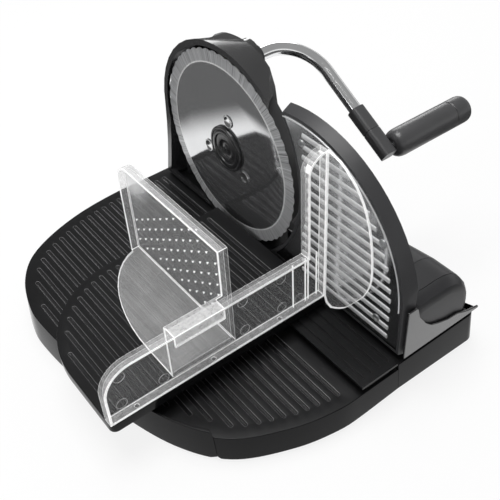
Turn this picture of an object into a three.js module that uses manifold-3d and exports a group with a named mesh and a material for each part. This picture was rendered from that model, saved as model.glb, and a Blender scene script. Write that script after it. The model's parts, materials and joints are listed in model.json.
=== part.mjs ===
// Manual food slicer: a crank-driven round blade, a sliding food carriage with a clear wall and pusher,
// and a stop plate that sets the slice thickness.
// Lengths are millimetres. +X runs from the carriage towards the crank handle, -Y towards the user, +Z up.
// Every group is drawn about the blade's centre: X = 0 is the cutting plane, Y = Z = 0 the blade's axis.
import * as THREE from 'three';
import { mergeVertices } from 'three/addons/utils/BufferGeometryUtils.js';
import Module from 'manifold-3d';

const wasm = await Module();
wasm.setup();

// Driving dimensions shared by several pieces
const FIT = 0.3;            // seating gap between two pieces that touch
const RUNNING = 0.5;        // running gap of the slides
const OVERRUN = 2;          // how far a cutter runs past the face it cuts
const WELD = 0.0001;        // distance under which two corners are one
const WALL = 2.5;           // moulded wall
const SKIN = 3;             // moulded deck
const ROUND_SIDES = 24;
const SMALL_SIDES = 10;
const ROD_SIDES = 16;
const NUT_SIDES = 6;
const SPIKE_SIDES = 3;

const BLADE = {
  radius: 95,
  thickness: 1.2,
  edge: 0.4,
  ground: 12.5,
  waves: 54,
  waveDepth: 1.3,
  waveSteps: 3,
  bore: 12,
  screwCircle: 31.5,
  screwHole: 2.3,
  slotGap: 3.5,
  slotWall: 3,
};
const CASE = { radius: 88, margin: 7, rim: 2.5, start: 2.6, back: 16, plate: 2.4, pinionPocket: 18.2 };
const ENCLOSED = Math.max(BLADE.radius, CASE.radius + CASE.margin);    // radius that the hood has to enclose

const BASE = {
  left: -213,
  right: 97,
  near: -232,
  far: 129,
  height: 31,
  lift: 3,
  flare: 2.5,
  nearCorner: 12,
  farCorner: 64,
  rim: 11,
};
const BASE_WIDTH = BASE.right - BASE.left;
const BASE_DEPTH = BASE.far - BASE.near;
// Left half of the base outline, from the middle of the far edge round to the near edge
const BASE_CURVE_SHARES = [
  [0.616, 1.0], [0.474, 1.0], [0.332, 0.985], [0.203, 0.95], [0.106, 0.9], [0.042, 0.825], [0.006, 0.731],
  [0.0, 0.659], [0.013, 0.532], [0.052, 0.352], [0.113, 0.199], [0.203, 0.094], [0.348, 0.03],
  [0.474, 0.003], [0.558, 0.0],
];
const BASE_CURVE_STEPS = 34;
const CORNER_STEPS = 6;

// Blade axis above the table top that the slicer stands on
const AXIS_HEIGHT = ENCLOSED + BASE.height + BASE.lift;
const BASE_BOTTOM = -AXIS_HEIGHT + BASE.lift;
const DECK = BASE_BOTTOM + BASE.height;

const GROOVE = { pitch: 9.45, width: 3.3, depth: 1.3, first: -9.3, sides: 3 };

const TRAY = { drop: 5.5, rear: -112, right: -1, left: -183, seam: -166, skin: 2.5 };
const TRAY_DECK = DECK - TRAY.drop;
// Left edge of the tray: shares of the way from its left side to the seam, and from its rear to the near edge
const TRAY_EDGE_SHARES = [[0, 0], [0, 0.2], [0.35, 0.342], [0.82, 0.475], [1.53, 0.617], [1, 0.733]];

const STRIP = {
  left: -42.5, right: -3, far: 18, rise: 4.5, flange: 2.8, webInset: 6.5, grooves: 4,
  nearGap: 0.5,
};
const STRIP_TOP = DECK + STRIP.rise;

const CHANNEL = { left: -47, right: -1, far: 20, skin: 2.5 };
const PLATEAU = { left: 1.5, right: 46, near: -66, far: 119, rise: 5 };
const PLATEAU_TOP = DECK + PLATEAU.rise;

const COVER = { thickness: 2 };
const COVER_BOTTOM = BASE_BOTTOM + FIT;
const COVER_TOP = COVER_BOTTOM + COVER.thickness;

const FOOT = { radius: 8, stud: 2.2, studRise: 2.6 };
const FOOT_PLACES_SHARES = [[0.345, 0.085], [0.95, 0.045], [0.12, 0.78], [0.93, 0.86]];

const BASE_SCREW = { shank: 1.5, head: 3.2, headHeight: 1.6, reach: 13, boss: 4.2 };
const BASE_SCREW_SHARES = [[0.1, 0.6], [0.4, 0.955], [0.93, 0.6], [0.8, 0.03]];

const BLADE_SCREW_ANGLES = [98.3, -21.7, -141.7];
const BLADE_SCREW = { head: 6.4, headHeight: 0.8, rise: 1.1, driver: 3.4, shank: 2, reach: 5.2 };

const HUB = {
  radius: 22.6, height: 2.6, recess: 15, recessDepth: 0.9, cup: 8.5, cupDepth: 1.9, plug: 11.7,
  groove: 19.6,
};

const GEAR = {
  module: 2, teeth: 66, pinionTeeth: 14, width: 7.5, start: 4.5, web: 2.5, hub: 12,
  addendum: 0.9, dedendum: 1.25,
};
const GEAR_THICKNESS_SHARE = 0.84;
const PRESSURE_ANGLE = THREE.MathUtils.degToRad(20);
const CRANK_RISE = (GEAR.module * (GEAR.teeth + GEAR.pinionTeeth)) / 2;

const AXLE = { radius: 6 };
const SHAFT = { radius: 5, clipRadius: 8 };

const HOOD = {
  front: -1,
  back: 23,
  margin: 8,
  rim: 5.5,
  skin: 2.5,
  tipAngle: 130,
  farAngle: 0,
  boss: 17,
  bossEnd: 33,
  bossRise: 1,
  axleBoss: 12,
  post: 5,
  legSteps: 4,
  archSteps: 14,
  sideSteps: 5,
};
const HOOD_OUTER = ENCLOSED + HOOD.margin;
// Side edges of the hood as shares of the enclosed radius, (Y, Z), from the table end upwards
const HOOD_NEAR_FRONT_SHARES = [[-0.42, -0.945], [-0.52, -0.6], [-0.58, 0], [-0.62, 0.42], [-0.697, 0.831]];
const HOOD_NEAR_BACK_SHARES = [[-0.42, -0.945], [-0.56, -0.5], [-0.575, 0.05], [-0.52, 0.5], [-0.47, 0.8]];
const HOOD_TOP_BACK_SHARES = [[-0.4, 0.955], [-0.25, 1.04], [0, 1.075], [0.25, 1.04], [0.42, 0.955]];
const HOOD_FAR_FRONT_SHARES = [[1.084, 0], [1.1, -0.2], [1.15, -0.55], [1.232, -0.945]];
const HOOD_FAR_BACK_SHARES = [[0.62, 0.6], [0.8, 0.1], [0.98, -0.45], [1.1, -0.945]];

const HOOD_SCREWS = { x: 16.5, places: [96, 40, -36], shank: 2, head: 3.6, headHeight: 2, reach: 4.5 };
const BUSH = { outer: 9, flangeWidth: 1.5 };

const CRANK = {
  collarRadius: 9.75,
  collarLength: 6.7,
  rod: 5.9,
  bend: 40,
  arm: 89.5,
  angle: -60,
  socketStart: 84,
  socketEnd: 135,
  socketWide: 14.5,
  socketDeep: 13,
  socketCorner: 4,
  rodEnd: 92,
  seam: 108,
  seamDepth: 0.4,
  seamWidth: 1,
  grip: 128,
  bendSteps: 12,
};
const SPINDLE = { radius: 3, wall: 3 };
const SPINDLE_START = CRANK.arm - CRANK.socketWide / 2 + SPINDLE.wall;
const GRIP = {
  start: 98,
  end: 190,
  radius: 12.75,
  capStart: 170,
  nose: 8,
  noseRadius: 7.5,
  pocket: 6,
  pocketStart: 158,
  nut: 5.5,
  nutWidth: 3,
  plug: 4,
};
// Rounded start of the grip: share of the nose's length, then share of the way out to the full radius
const GRIP_NOSE_SHARES = [[0, 0], [0.15, 0.5], [0.5, 0.85], [1, 1]];

const CARRIAGE = {
  left: -221,
  right: -4,
  near: -141.5,
  far: 20,
  height: 10,
  sweep: 95,
  corner: 6,
  grooveEnd: 6,
  rim: 8,
  grooves: 22,
  firstGroove: -12,
};
const CARRIAGE_BOTTOM = STRIP_TOP + RUNNING;
const TABLE = CARRIAGE_BOTTOM + CARRIAGE.height;
const RUNNER = {
  length: 40, near: -136, leg: 2.6, toe: 5.2, plate: 10.5, plateHeight: 2.5, drop: 7,
  toeHeight: 3,
};
const RUNNER_SCREW = { shank: 1.4, head: 2.8, headHeight: 1.4, margin: 8 };
const GLIDE = { near: -60, far: 0, width: 4.4 };
const GLIDE_LAND = 15.5;    // which land between the deck grooves the glide runs on, counted from the first groove

const GUARD = {
  far: -132.3,
  near: -141.6,
  skin: 2.3,
  top: 56,
  left: -221,
  sweep: 26,
  upright: -23.5,
  uprightRise: 140,
  crestRise: 156,
  peg: 2,
  pegLength: 2.6,
};
const GUARD_PEG_SHARES = [0.12, 0.46, 0.78];
const SHIELD = { thickness: 2.3, right: -4, reach: 54.5, top: 172, bottom: 8 };
// Outline of the thumb shield: shares of its reach towards the user and of its height
const SHIELD_SHARES = [
  [0, 1], [0.3, 0.976], [0.45, 0.94], [0.63, 0.89], [0.82, 0.787], [0.95, 0.634], [1, 0.451],
  [0.963, 0.354], [0.852, 0.262], [0.68, 0.177], [0.48, 0.085], [0.24, 0.018], [0.08, 0], [0, 0.055],
];
const SHIELD_STEPS = 30;

const PUSHER = {
  face: -95,
  skin: 2.3,
  flange: 9,
  far: 21,
  top: 105,
  corner: 20,
  floorLeft: -158,
  floorDepth: 114,
  floorStraight: -95,
  clipLeft: -157,
  clipRight: -110,
  clipDrop: 12,
  rows: 9,
  rowPitch: 11.8,
  columns: 12,
  columnPitch: 11.7,
  columnRise: 7.7,
  spikeFar: 17,
  firstSpike: 35.6,
  highestSpike: 94.5,
  spikeCorner: 107,
  spikeRadius: 1.1,
  spikeHeight: 1.6,
  spikeFloor: 4,
};

const PLATE = {
  front: 2,
  back: 12,
  archY: -103,
  archRise: 53,
  archRadius: 122,
  archShift: 3,
  archGrow: 4,
  nearGrow: 3.7,
  hollowY: 25,
  hollowZ: 5,
  hollowGap: 29.5,
  rise: 6.4,
  tip: 4,
  border: 3,
  pocket: 1.2,
  skin: 3,
  archSteps: 18,
  hollowSteps: 18,
};
const PLATE_BOTTOM = DECK + PLATE.rise;
const ARCH_Z = DECK + PLATE.archRise;
const HOLLOW_RADIUS = ENCLOSED + PLATE.hollowGap;
const PLATE_NEAR = PLATE.archY - PLATE.archRadius;

const SHEET = {
  thickness: 0.8, ribRise: 0.9, ribWidth: 5, ribPitchShare: 0.0611, ribFirstShare: 0.0801,
  ribs: 15, ribMargin: 11, ribInset: 8, ribFar: -104,
};
const PLATE_SCREW = { head: 4, headHeight: 1, shank: 1.7, reach: 5.5 };
// Stop plate screws: share of the arch's radius towards the user, share of the plate's height
const PLATE_SCREW_PLACES_SHARES = [[0, 0.869], [0.78, 0.624], [0.775, 0.132]];

const CARRIER = {
  right: 93.5,
  near: -231,
  far: -70,
  floor: 3,
  skin: 2,
  flangeRise: 35,
  flange: 2.5,
  tabLeft: 3,
};
// Top edge of the carrier's near wall: shares of its width and of its tallest height
const CARRIER_EDGE_SHARES = [
  [1, 0], [0.84, 0.1], [0.69, 0.216], [0.564, 0.235], [0.425, 0.31], [0.33, 0.384],
  [0.245, 0.515], [0.15, 0.757], [0.117, 0.963], [0.098, 1], [0, 1],
];
const CARRIER_TAB = 53.6;    // tallest height of the near wall, at the stop plate's edge
const KEY = { left: 20, right: 60, pad: 12, neck: 6, foot: 3 };
const KEY_PLACES = [-205, -85];

const HOUSING = {
  left: 15.1,
  rise: 59,
  round: 36,
  right: 84.4,
  nearSeam: -217,
  farSeam: -192,
  far: -90,
  skin: 2.5,
  steps: 6,
  edge: 1.5,
  seamGap: 0.4,
  nearDraw: 11,
  rearFall: 16,
};
const HOUSING_TOP = DECK + HOUSING.rise;
// Rounding of the near cap and fall of the rear cover: share of the length, then how far the skin draws in or falls
const NEAR_CAP_SHARES = [[0, 0], [0.45, 0.12], [0.8, 0.42], [1, 1]];
const REAR_COVER_SHARES = [[0, 0], [0.35, 0.2], [0.85, 0.55], [1, 1]];
const HOUSING_LEFT_FALL_SHARE = 1.5;

const KNOB = {
  y: -108,
  rise: 29,
  radius: 17,
  start: 84.7,
  end: 97,
  lobes: 12,
  lobeDepth: 1.6,
  boss: 13,
  bossStart: 60,
  spindle: 5,
  spindleStart: 20,
  spindleEnd: 93,
  collar: 8,
  collarWidth: 2.6,
};
const KNOB_Z = DECK + KNOB.rise;
const NUT = { left: 40, right: 52, halfWidth: 9, crown: 4, flange: 4, flangeHalf: 13 };
const STOP_TRAVEL = { closed: 2, open: 13 };

// Geometry helpers

// A closed three.js geometry becomes a solid that can be joined and cut
function toSolid(geometry) {
  const bare = geometry.clone();
  bare.deleteAttribute('normal');
  bare.deleteAttribute('uv');
  const welded = mergeVertices(bare, WELD);
  const vertices = welded.getAttribute('position').array;
  const corners = welded.index.array;
  const kept = [];
  for (let i = 0; i < corners.length; i += 3) {
    const [a, b, c] = [corners[i], corners[i + 1], corners[i + 2]];
    if (a !== b && b !== c && c !== a) {
      kept.push(a, b, c);
    }
  }
  if (enclosedVolume(vertices, kept) < 0) {
    kept.reverse();
  }
  const mesh = new wasm.Mesh({
    numProp: 3,
    vertProperties: Float32Array.from(vertices),
    triVerts: Uint32Array.from(kept),
  });
  return new wasm.Manifold(mesh);
}

function enclosedVolume(vertices, corners) {
  const point = (index) => new THREE.Vector3().fromArray(vertices, index * 3);
  let volume = 0;
  for (let i = 0; i < corners.length; i += 3) {
    const cross = point(corners[i + 1]).cross(point(corners[i + 2]));
    volume += point(corners[i]).dot(cross);
  }
  return volume;
}

function toGeometry(solid) {
  const mesh = solid.getMesh();
  const geometry = new THREE.BufferGeometry();
  geometry.setAttribute('position', new THREE.BufferAttribute(Float32Array.from(mesh.vertProperties), 3));
  geometry.setIndex(new THREE.BufferAttribute(Uint32Array.from(mesh.triVerts), 1));
  const flat = geometry.toNonIndexed();
  flat.computeVertexNormals();
  return flat;
}

function join(solids) {
  return solids.reduce((whole, next) => whole.add(next));
}

function cut(solid, cutters) {
  return cutters.reduce((rest, cutter) => rest.subtract(cutter), solid);
}

// Turns the drawing axes of a flat outline and its depth into the model's axes
const ALONG_X = new THREE.Matrix4().makeBasis(
  new THREE.Vector3(0, 1, 0), new THREE.Vector3(0, 0, 1), new THREE.Vector3(1, 0, 0));
const ALONG_Y = new THREE.Matrix4().makeBasis(
  new THREE.Vector3(1, 0, 0), new THREE.Vector3(0, 0, 1), new THREE.Vector3(0, -1, 0));

function flatShape(points) {
  return new THREE.Shape(points.map(([u, v]) => new THREE.Vector2(u, v)));
}

// Outline of (Y, Z) points, from x0 to x1
function prismX(points, x0, x1) {
  const geometry = new THREE.ExtrudeGeometry(flatShape(points), { depth: x1 - x0, bevelEnabled: false });
  geometry.applyMatrix4(ALONG_X).translate(x0, 0, 0);
  return toSolid(geometry);
}

// Outline of (X, Z) points, from y0 to y1
function prismY(points, y0, y1) {
  const geometry = new THREE.ExtrudeGeometry(flatShape(points), { depth: y1 - y0, bevelEnabled: false });
  geometry.applyMatrix4(ALONG_Y).translate(0, y1, 0);
  return toSolid(geometry);
}

// Outline of (X, Y) points, from z0 to z1
function prismZ(points, z0, z1) {
  const geometry = new THREE.ExtrudeGeometry(flatShape(points), { depth: z1 - z0, bevelEnabled: false });
  geometry.translate(0, 0, z0);
  return toSolid(geometry);
}

function box([x0, x1], [y0, y1], [z0, z1]) {
  const geometry = new THREE.BoxGeometry(x1 - x0, y1 - y0, z1 - z0);
  geometry.translate((x0 + x1) / 2, (y0 + y1) / 2, (z0 + z1) / 2);
  return toSolid(geometry);
}

function rodX(radius, [x0, x1], y = 0, z = 0, sides = ROUND_SIDES) {
  const geometry = new THREE.CylinderGeometry(radius, radius, x1 - x0, sides);
  geometry.rotateZ(-Math.PI / 2).translate((x0 + x1) / 2, y, z);
  return toSolid(geometry);
}

function rodZ(radius, [z0, z1], x, y, sides = SMALL_SIDES) {
  const geometry = new THREE.CylinderGeometry(radius, radius, z1 - z0, sides);
  geometry.rotateX(Math.PI / 2).translate(x, y, (z0 + z1) / 2);
  return toSolid(geometry);
}

// Profile of (X, radius) points turned about the X axis
function turnedX(profile, sides = ROUND_SIDES) {
  const points = profile.map(([x, radius]) => new THREE.Vector2(radius, x));
  const geometry = new THREE.LatheGeometry(points, sides);
  geometry.rotateZ(-Math.PI / 2);
  return toSolid(geometry);
}

// Rings of matching points joined in order, with a flat cap on each end
function loft(rings) {
  const count = rings[0].length;
  const positions = rings.flat().flatMap((point) => [point.x, point.y, point.z]);
  const corners = [];
  for (let ring = 0; ring + 1 < rings.length; ring += 1) {
    for (let i = 0; i < count; i += 1) {
      const a = ring * count + i;
      const b = ring * count + ((i + 1) % count);
      corners.push(a, b, b + count, a, b + count, a + count);
    }
  }
  const last = (rings.length - 1) * count;
  for (const [a, b, c] of capTriangles(rings[0])) {
    corners.push(c, b, a);
  }
  for (const [a, b, c] of capTriangles(rings[rings.length - 1])) {
    corners.push(last + a, last + b, last + c);
  }
  const geometry = new THREE.BufferGeometry();
  geometry.setAttribute('position', new THREE.Float32BufferAttribute(positions, 3));
  geometry.setIndex(corners);
  return toSolid(geometry);
}

// Triangles of a flat ring, wound the way the ring itself runs
function capTriangles(ring) {
  const centre = ring.reduce((sum, point) => sum.add(point), new THREE.Vector3()).divideScalar(ring.length);
  const normal = new THREE.Vector3();
  ring.forEach((point, i) => {
    const next = ring[(i + 1) % ring.length];
    normal.add(point.clone().sub(centre).cross(next.clone().sub(centre)));
  });
  const turn = new THREE.Quaternion().setFromUnitVectors(normal.normalize(), new THREE.Vector3(0, 0, 1));
  const flat = ring.map((point) => {
    const turned = point.clone().applyQuaternion(turn);
    return new THREE.Vector2(turned.x, turned.y);
  });
  return THREE.ShapeUtils.triangulateShape(flat, []);
}

// Moves every side of an outline inwards by the distance, or outwards if it is negative
function inset(points, distance) {
  const turn = THREE.ShapeUtils.area(points.map(([x, y]) => ({ x, y }))) > 0 ? 1 : -1;
  return points.map(([x, y], i) => {
    const [px, py] = points[(i + points.length - 1) % points.length];
    const [nx, ny] = points[(i + 1) % points.length];
    const before = new THREE.Vector2(x - px, y - py).normalize();
    const after = new THREE.Vector2(nx - x, ny - y).normalize();
    const bisector = new THREE.Vector2(-before.y - after.y, before.x + after.x).multiplyScalar(turn);
    const reach = distance / (1 + before.dot(after));
    return [x + bisector.x * reach, y + bisector.y * reach];
  });
}

// The same for an outline with short sides, whose crossings are cleaned away
function drawnIn(points, distance) {
  const contours = new wasm.CrossSection([points], 'NonZero').offset(-distance, 'Miter').toPolygons();
  const areaOf = (contour) => Math.abs(THREE.ShapeUtils.area(contour.map(([x, y]) => ({ x, y }))));
  return contours.reduce((largest, contour) => (areaOf(contour) > areaOf(largest) ? contour : largest));
}

function arc(cx, cy, radius, startDegrees, endDegrees, steps) {
  const points = [];
  for (let i = 0; i <= steps; i += 1) {
    const angle = THREE.MathUtils.degToRad(startDegrees + ((endDegrees - startDegrees) * i) / steps);
    points.push([cx + radius * Math.cos(angle), cy + radius * Math.sin(angle)]);
  }
  return points;
}

function smooth(points, steps) {
  const spline = new THREE.SplineCurve(points.map(([u, v]) => new THREE.Vector2(u, v)));
  return spline.getSpacedPoints(steps).map((point) => [point.x, point.y]);
}

// Slot with round ends along the second axis of the outline
function slot(centre, width, low, high, sides = GROOVE.sides) {
  const radius = width / 2;
  return [
    ...arc(centre, low + radius, radius, 180, 360, sides),
    ...arc(centre, high - radius, radius, 0, 180, sides),
  ];
}

// Lowest and highest second coordinate of an outline at one first coordinate
function spanAt(points, u) {
  const hits = [];
  points.forEach(([u0, v0], i) => {
    const [u1, v1] = points[(i + 1) % points.length];
    if ((u0 - u) * (u1 - u) < 0) {
      hits.push(v0 + ((v1 - v0) * (u - u0)) / (u1 - u0));
    }
  });
  return hits.length < 2 ? null : [Math.min(...hits), Math.max(...hits)];
}

const ringZ = (points, z) => points.map(([x, y]) => new THREE.Vector3(x, y, z));
const ringX = (points, x) => points.map(([y, z]) => new THREE.Vector3(x, y, z));
const ringY = (points, y) => points.map(([x, z]) => new THREE.Vector3(x, y, z));

// Materials
const FINISH = {
  moulded: { color: 0x1b1b1d, roughness: 0.4, metalness: 0 },
  glossy: { color: 0x121213, roughness: 0.15, metalness: 0 },
  satin: { color: 0x242426, roughness: 0.5, metalness: 0 },
  clear: { color: 0xe8ecee, roughness: 0.08, metalness: 0, transparent: true, opacity: 0.35 },
  steel: { color: 0xc9cbcd, roughness: 0.2, metalness: 1 },
  chrome: { color: 0xdfe1e3, roughness: 0.08, metalness: 1 },
  zinc: { color: 0xa9abad, roughness: 0.35, metalness: 1 },
  nylon: { color: 0xd9d6cc, roughness: 0.5, metalness: 0 },
  rubber: { color: 0x1d1d1d, roughness: 0.9, metalness: 0 },
};

function piece(name, solid, finish) {
  const mesh = new THREE.Mesh(toGeometry(solid), new THREE.MeshStandardMaterial(FINISH[finish]));
  mesh.name = name;
  return mesh;
}

// Copies of one piece, numbered from 1
function pieces(name, solids, finish) {
  return solids.map((solid, i) => piece(`${name}_${i + 1}`, solid, finish));
}

function group(...children) {
  const whole = new THREE.Group();
  whole.add(...children);
  return whole;
}

// Base

const basePoint = ([across, along]) => [BASE.left + across * BASE_WIDTH, BASE.near + along * BASE_DEPTH];

function baseOutline() {
  const curve = smooth(BASE_CURVE_SHARES.map(basePoint), BASE_CURVE_STEPS);
  const near = arc(BASE.right - BASE.nearCorner, BASE.near + BASE.nearCorner, BASE.nearCorner, -90, 0, CORNER_STEPS);
  const far = arc(BASE.right - BASE.farCorner, BASE.far - BASE.farCorner, BASE.farCorner, 0, 90, CORNER_STEPS * 2);
  return [...curve, ...near, ...far];
}

const OUTLINE = baseOutline();
const INNER_OUTLINE = inset(OUTLINE, BASE.flare + WALL);
const DECK_FIELD = inset(OUTLINE, BASE.flare + BASE.rim);

// Outer body of the base up to one level, leaning in as the moulding's walls do
function baseBlock(top) {
  const lean = (BASE.flare * (top - BASE_BOTTOM)) / BASE.height;
  return loft([ringZ(OUTLINE, BASE_BOTTOM), ringZ(inset(OUTLINE, lean), top)]);
}

function trayPlan() {
  const edge = TRAY_EDGE_SHARES.map(([across, along]) => [
    TRAY.left + across * (TRAY.seam - TRAY.left),
    TRAY.rear + along * (BASE.near - TRAY.rear),
  ]);
  const nearRun = BASE.near - BASE.nearCorner;
  return [...edge, [TRAY.seam, nearRun], [TRAY.right, nearRun], [TRAY.right, TRAY.rear]].reverse();
}

function grooveCutters(places, spanOf, top) {
  return places
    .map((x) => [x, spanOf(x)])
    .filter(([, span]) => span !== null && span[1] - span[0] > GROOVE.pitch)
    .map(([x, [low, high]]) => prismZ(slot(x, GROOVE.width, low, high), top - GROOVE.depth, top + OVERRUN));
}

function groovePlaces(first, count, step = -GROOVE.pitch) {
  return Array.from({ length: count }, (_, i) => first + i * step);
}

function deckGrooves() {
  const places = groovePlaces(GROOVE.first, Math.floor((GROOVE.first - BASE.left) / GROOVE.pitch));
  const span = (x) => {
    const field = spanAt(DECK_FIELD, x);
    if (field === null) {
      return null;
    }
    const behindTray = x > TRAY.left - GROOVE.pitch ? TRAY.rear + WALL * 2 : field[0];
    const behindChannel = x > CHANNEL.left - GROOVE.width ? CHANNEL.far + WALL * 2 : behindTray;
    return [Math.max(field[0], behindChannel), field[1]];
  };
  return grooveCutters(places, span, DECK);
}

const SLOT_FLOOR = -ENCLOSED - BLADE.slotGap;
const SLOT_HALF = Math.sqrt(ENCLOSED ** 2 - (PLATEAU_TOP - OVERRUN) ** 2);

const KEY_SLOT = {
  left: KEY.left - STOP_TRAVEL.closed - RUNNING * 2,
  right: KEY.right + STOP_TRAVEL.open + RUNNING * 2,
};

function baseBody() {
  const deckUnder = DECK - SKIN;
  const channelFloor = TRAY_DECK;
  const shell = cut(baseBlock(DECK), [prismZ(INNER_OUTLINE, BASE_BOTTOM - OVERRUN, deckUnder)]);
  const plateau = box([PLATEAU.left, PLATEAU.right], [PLATEAU.near, PLATEAU.far], [deckUnder, PLATEAU_TOP]);
  const slotTray = box(
    [-BLADE.slotWall, BLADE.slotWall * 2], [-SLOT_HALF - WALL, SLOT_HALF + WALL], [SLOT_FLOOR - WALL, deckUnder + FIT]);
  const channelTray = box(
    [CHANNEL.left - WALL, CHANNEL.right + WALL], [TRAY.rear, CHANNEL.far + WALL],
    [channelFloor - CHANNEL.skin, deckUnder + FIT]);
  const seamWall = box(
    [TRAY.right, TRAY.right + WALL], [BASE.near + BASE.flare + WALL, TRAY.rear], [COVER_TOP + FIT, deckUnder + FIT]);
  const bosses = BASE_SCREW_SHARES.map(basePoint).map(([x, y]) =>
    rodZ(BASE_SCREW.boss, [COVER_TOP + FIT, deckUnder + FIT], x, y));
  const bladeSlot = box([HOOD.front, BLADE.slotWall], [-SLOT_HALF, SLOT_HALF], [SLOT_FLOOR, PLATEAU_TOP + OVERRUN]);
  const channel = box([CHANNEL.left, CHANNEL.right], [TRAY.rear - OVERRUN, CHANNEL.far], [channelFloor, DECK + OVERRUN]);
  const bay = prismZ(inset(trayPlan(), -FIT), BASE_BOTTOM - OVERRUN, DECK + OVERRUN);
  const screwHoles = BASE_SCREW_SHARES.map(basePoint).map(([x, y]) =>
    rodZ(BASE_SCREW.shank + FIT, [COVER_TOP - OVERRUN, COVER_TOP + BASE_SCREW.reach + FIT], x, y));
  const hoodHoles = HOOD_SCREWS.places.map((y) =>
    rodZ(HOOD_SCREWS.shank + FIT, [deckUnder - OVERRUN, PLATEAU_TOP + OVERRUN], HOOD_SCREWS.x, y));
  const keySlots = KEY_PLACES.map((y) => box(
    [KEY_SLOT.left, KEY_SLOT.right], [y - KEY.neck / 2 - RUNNING, y + KEY.neck / 2 + RUNNING],
    [deckUnder - OVERRUN, DECK + OVERRUN]));
  const whole = join([shell, plateau, slotTray, channelTray, seamWall, ...bosses]);
  return cut(whole, [bladeSlot, channel, bay, ...screwHoles, ...hoodHoles, ...keySlots, ...deckGrooves()]);
}

function frontTray() {
  const plan = trayPlan();
  const block = baseBlock(TRAY_DECK).intersect(prismZ(plan, BASE_BOTTOM - OVERRUN, TRAY_DECK + OVERRUN));
  const under = TRAY_DECK - TRAY.skin;
  const wallFoot = COVER_TOP + FIT;
  const low = prismZ(INNER_OUTLINE, BASE_BOTTOM - OVERRUN, wallFoot);
  const high = prismZ(INNER_OUTLINE, wallFoot - FIT, under)
    .intersect(prismZ(inset(plan, TRAY.skin), wallFoot - FIT, under));
  const field = inset(OUTLINE, BASE.flare + BASE.rim);
  const planField = inset(plan, BASE.rim);
  const count = Math.floor((GROOVE.first - TRAY.left) / GROOVE.pitch);
  const places = groovePlaces(GROOVE.first, count).filter((x) => x < STRIP.left - GROOVE.pitch / 2);
  const span = (x) => {
    const limits = [spanAt(field, x), spanAt(planField, x)];
    if (limits.includes(null)) {
      return null;
    }
    return [Math.max(limits[0][0], limits[1][0]), TRAY.rear - WALL];
  };
  return cut(block, [low, high, ...grooveCutters(places, span, TRAY_DECK)]);
}

function guideStrip() {
  const near = BASE.near + BASE.flare / 2 + STRIP.nearGap;
  const flangeFoot = STRIP_TOP - STRIP.flange;
  const flange = box([STRIP.left, STRIP.right], [near, STRIP.far], [flangeFoot, STRIP_TOP]);
  const web = box(
    [STRIP.left + STRIP.webInset, STRIP.right - STRIP.webInset], [near + WALL, STRIP.far],
    [TRAY_DECK + FIT, flangeFoot + FIT]);
  const places = groovePlaces(STRIP.right - GROOVE.pitch / 2, STRIP.grooves);
  const span = () => [near + STRIP.webInset, STRIP.far - STRIP.webInset];
  return cut(flange.add(web), grooveCutters(places, span, STRIP_TOP));
}

function bottomCover() {
  const plate = prismZ(inset(INNER_OUTLINE, FIT), COVER_BOTTOM, COVER_TOP);
  const screwHoles = BASE_SCREW_SHARES.map(basePoint).map(([x, y]) =>
    rodZ(BASE_SCREW.shank + FIT, [COVER_BOTTOM - OVERRUN, COVER_TOP + OVERRUN], x, y));
  const footHoles = FOOT_PLACES_SHARES.map(basePoint).map(([x, y]) =>
    rodZ(FOOT.stud + FIT, [COVER_BOTTOM - OVERRUN, COVER_TOP + OVERRUN], x, y));
  return cut(plate, [...screwHoles, ...footHoles]);
}

function feet() {
  return FOOT_PLACES_SHARES.map(basePoint).map(([x, y]) => {
    const pad = rodZ(FOOT.radius, [-AXIS_HEIGHT, COVER_BOTTOM - FIT], x, y, ROUND_SIDES);
    return pad.add(rodZ(FOOT.stud, [COVER_BOTTOM - FIT * 2, COVER_BOTTOM + FOOT.studRise], x, y));
  });
}

function baseScrews() {
  return BASE_SCREW_SHARES.map(basePoint).map(([x, y]) => {
    const headTop = COVER_BOTTOM - FIT;
    const head = rodZ(BASE_SCREW.head, [headTop - BASE_SCREW.headHeight, headTop], x, y);
    return head.add(rodZ(BASE_SCREW.shank, [headTop - FIT, COVER_TOP + BASE_SCREW.reach], x, y));
  });
}

function spindleNut() {
  const base = DECK + FIT;
  const flange = box(
    [NUT.left, NUT.right], [KNOB.y - NUT.flangeHalf, KNOB.y + NUT.flangeHalf], [base, base + NUT.flange - FIT]);
  const post = box(
    [NUT.left, NUT.right], [KNOB.y - NUT.halfWidth, KNOB.y + NUT.halfWidth],
    [base, KNOB_Z + KNOB.spindle + NUT.crown]);
  const bore = rodX(KNOB.spindle + FIT, [NUT.left - OVERRUN, NUT.right + OVERRUN], KNOB.y, KNOB_Z);
  return flange.add(post).subtract(bore);
}

// Hood and gear case

const enclosedShare = ([y, z]) => [y * ENCLOSED, z * ENCLOSED];

function hoodRings(front, back, frontInset, backInset) {
  const foot = HOOD.sideSteps;
  const nearFront = smooth(HOOD_NEAR_FRONT_SHARES.map(enclosedShare), foot);
  const nearBack = smooth(HOOD_NEAR_BACK_SHARES.map(enclosedShare), foot);
  const archFront = arc(0, 0, HOOD_OUTER, HOOD.tipAngle, HOOD.farAngle, HOOD.archSteps + 1).slice(1, -1);
  const archBack = smooth(HOOD_TOP_BACK_SHARES.map(enclosedShare), HOOD.archSteps - 1);
  const farFront = smooth(HOOD_FAR_FRONT_SHARES.map(enclosedShare), HOOD.legSteps);
  const farBack = smooth(HOOD_FAR_BACK_SHARES.map(enclosedShare), HOOD.legSteps);
  const frontRing = inset([...nearFront, ...archFront, ...farFront], frontInset);
  const backRing = inset([...nearBack, ...archBack, ...farBack], backInset);
  return [ringX(frontRing, front), ringX(backRing, back)];
}

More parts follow.
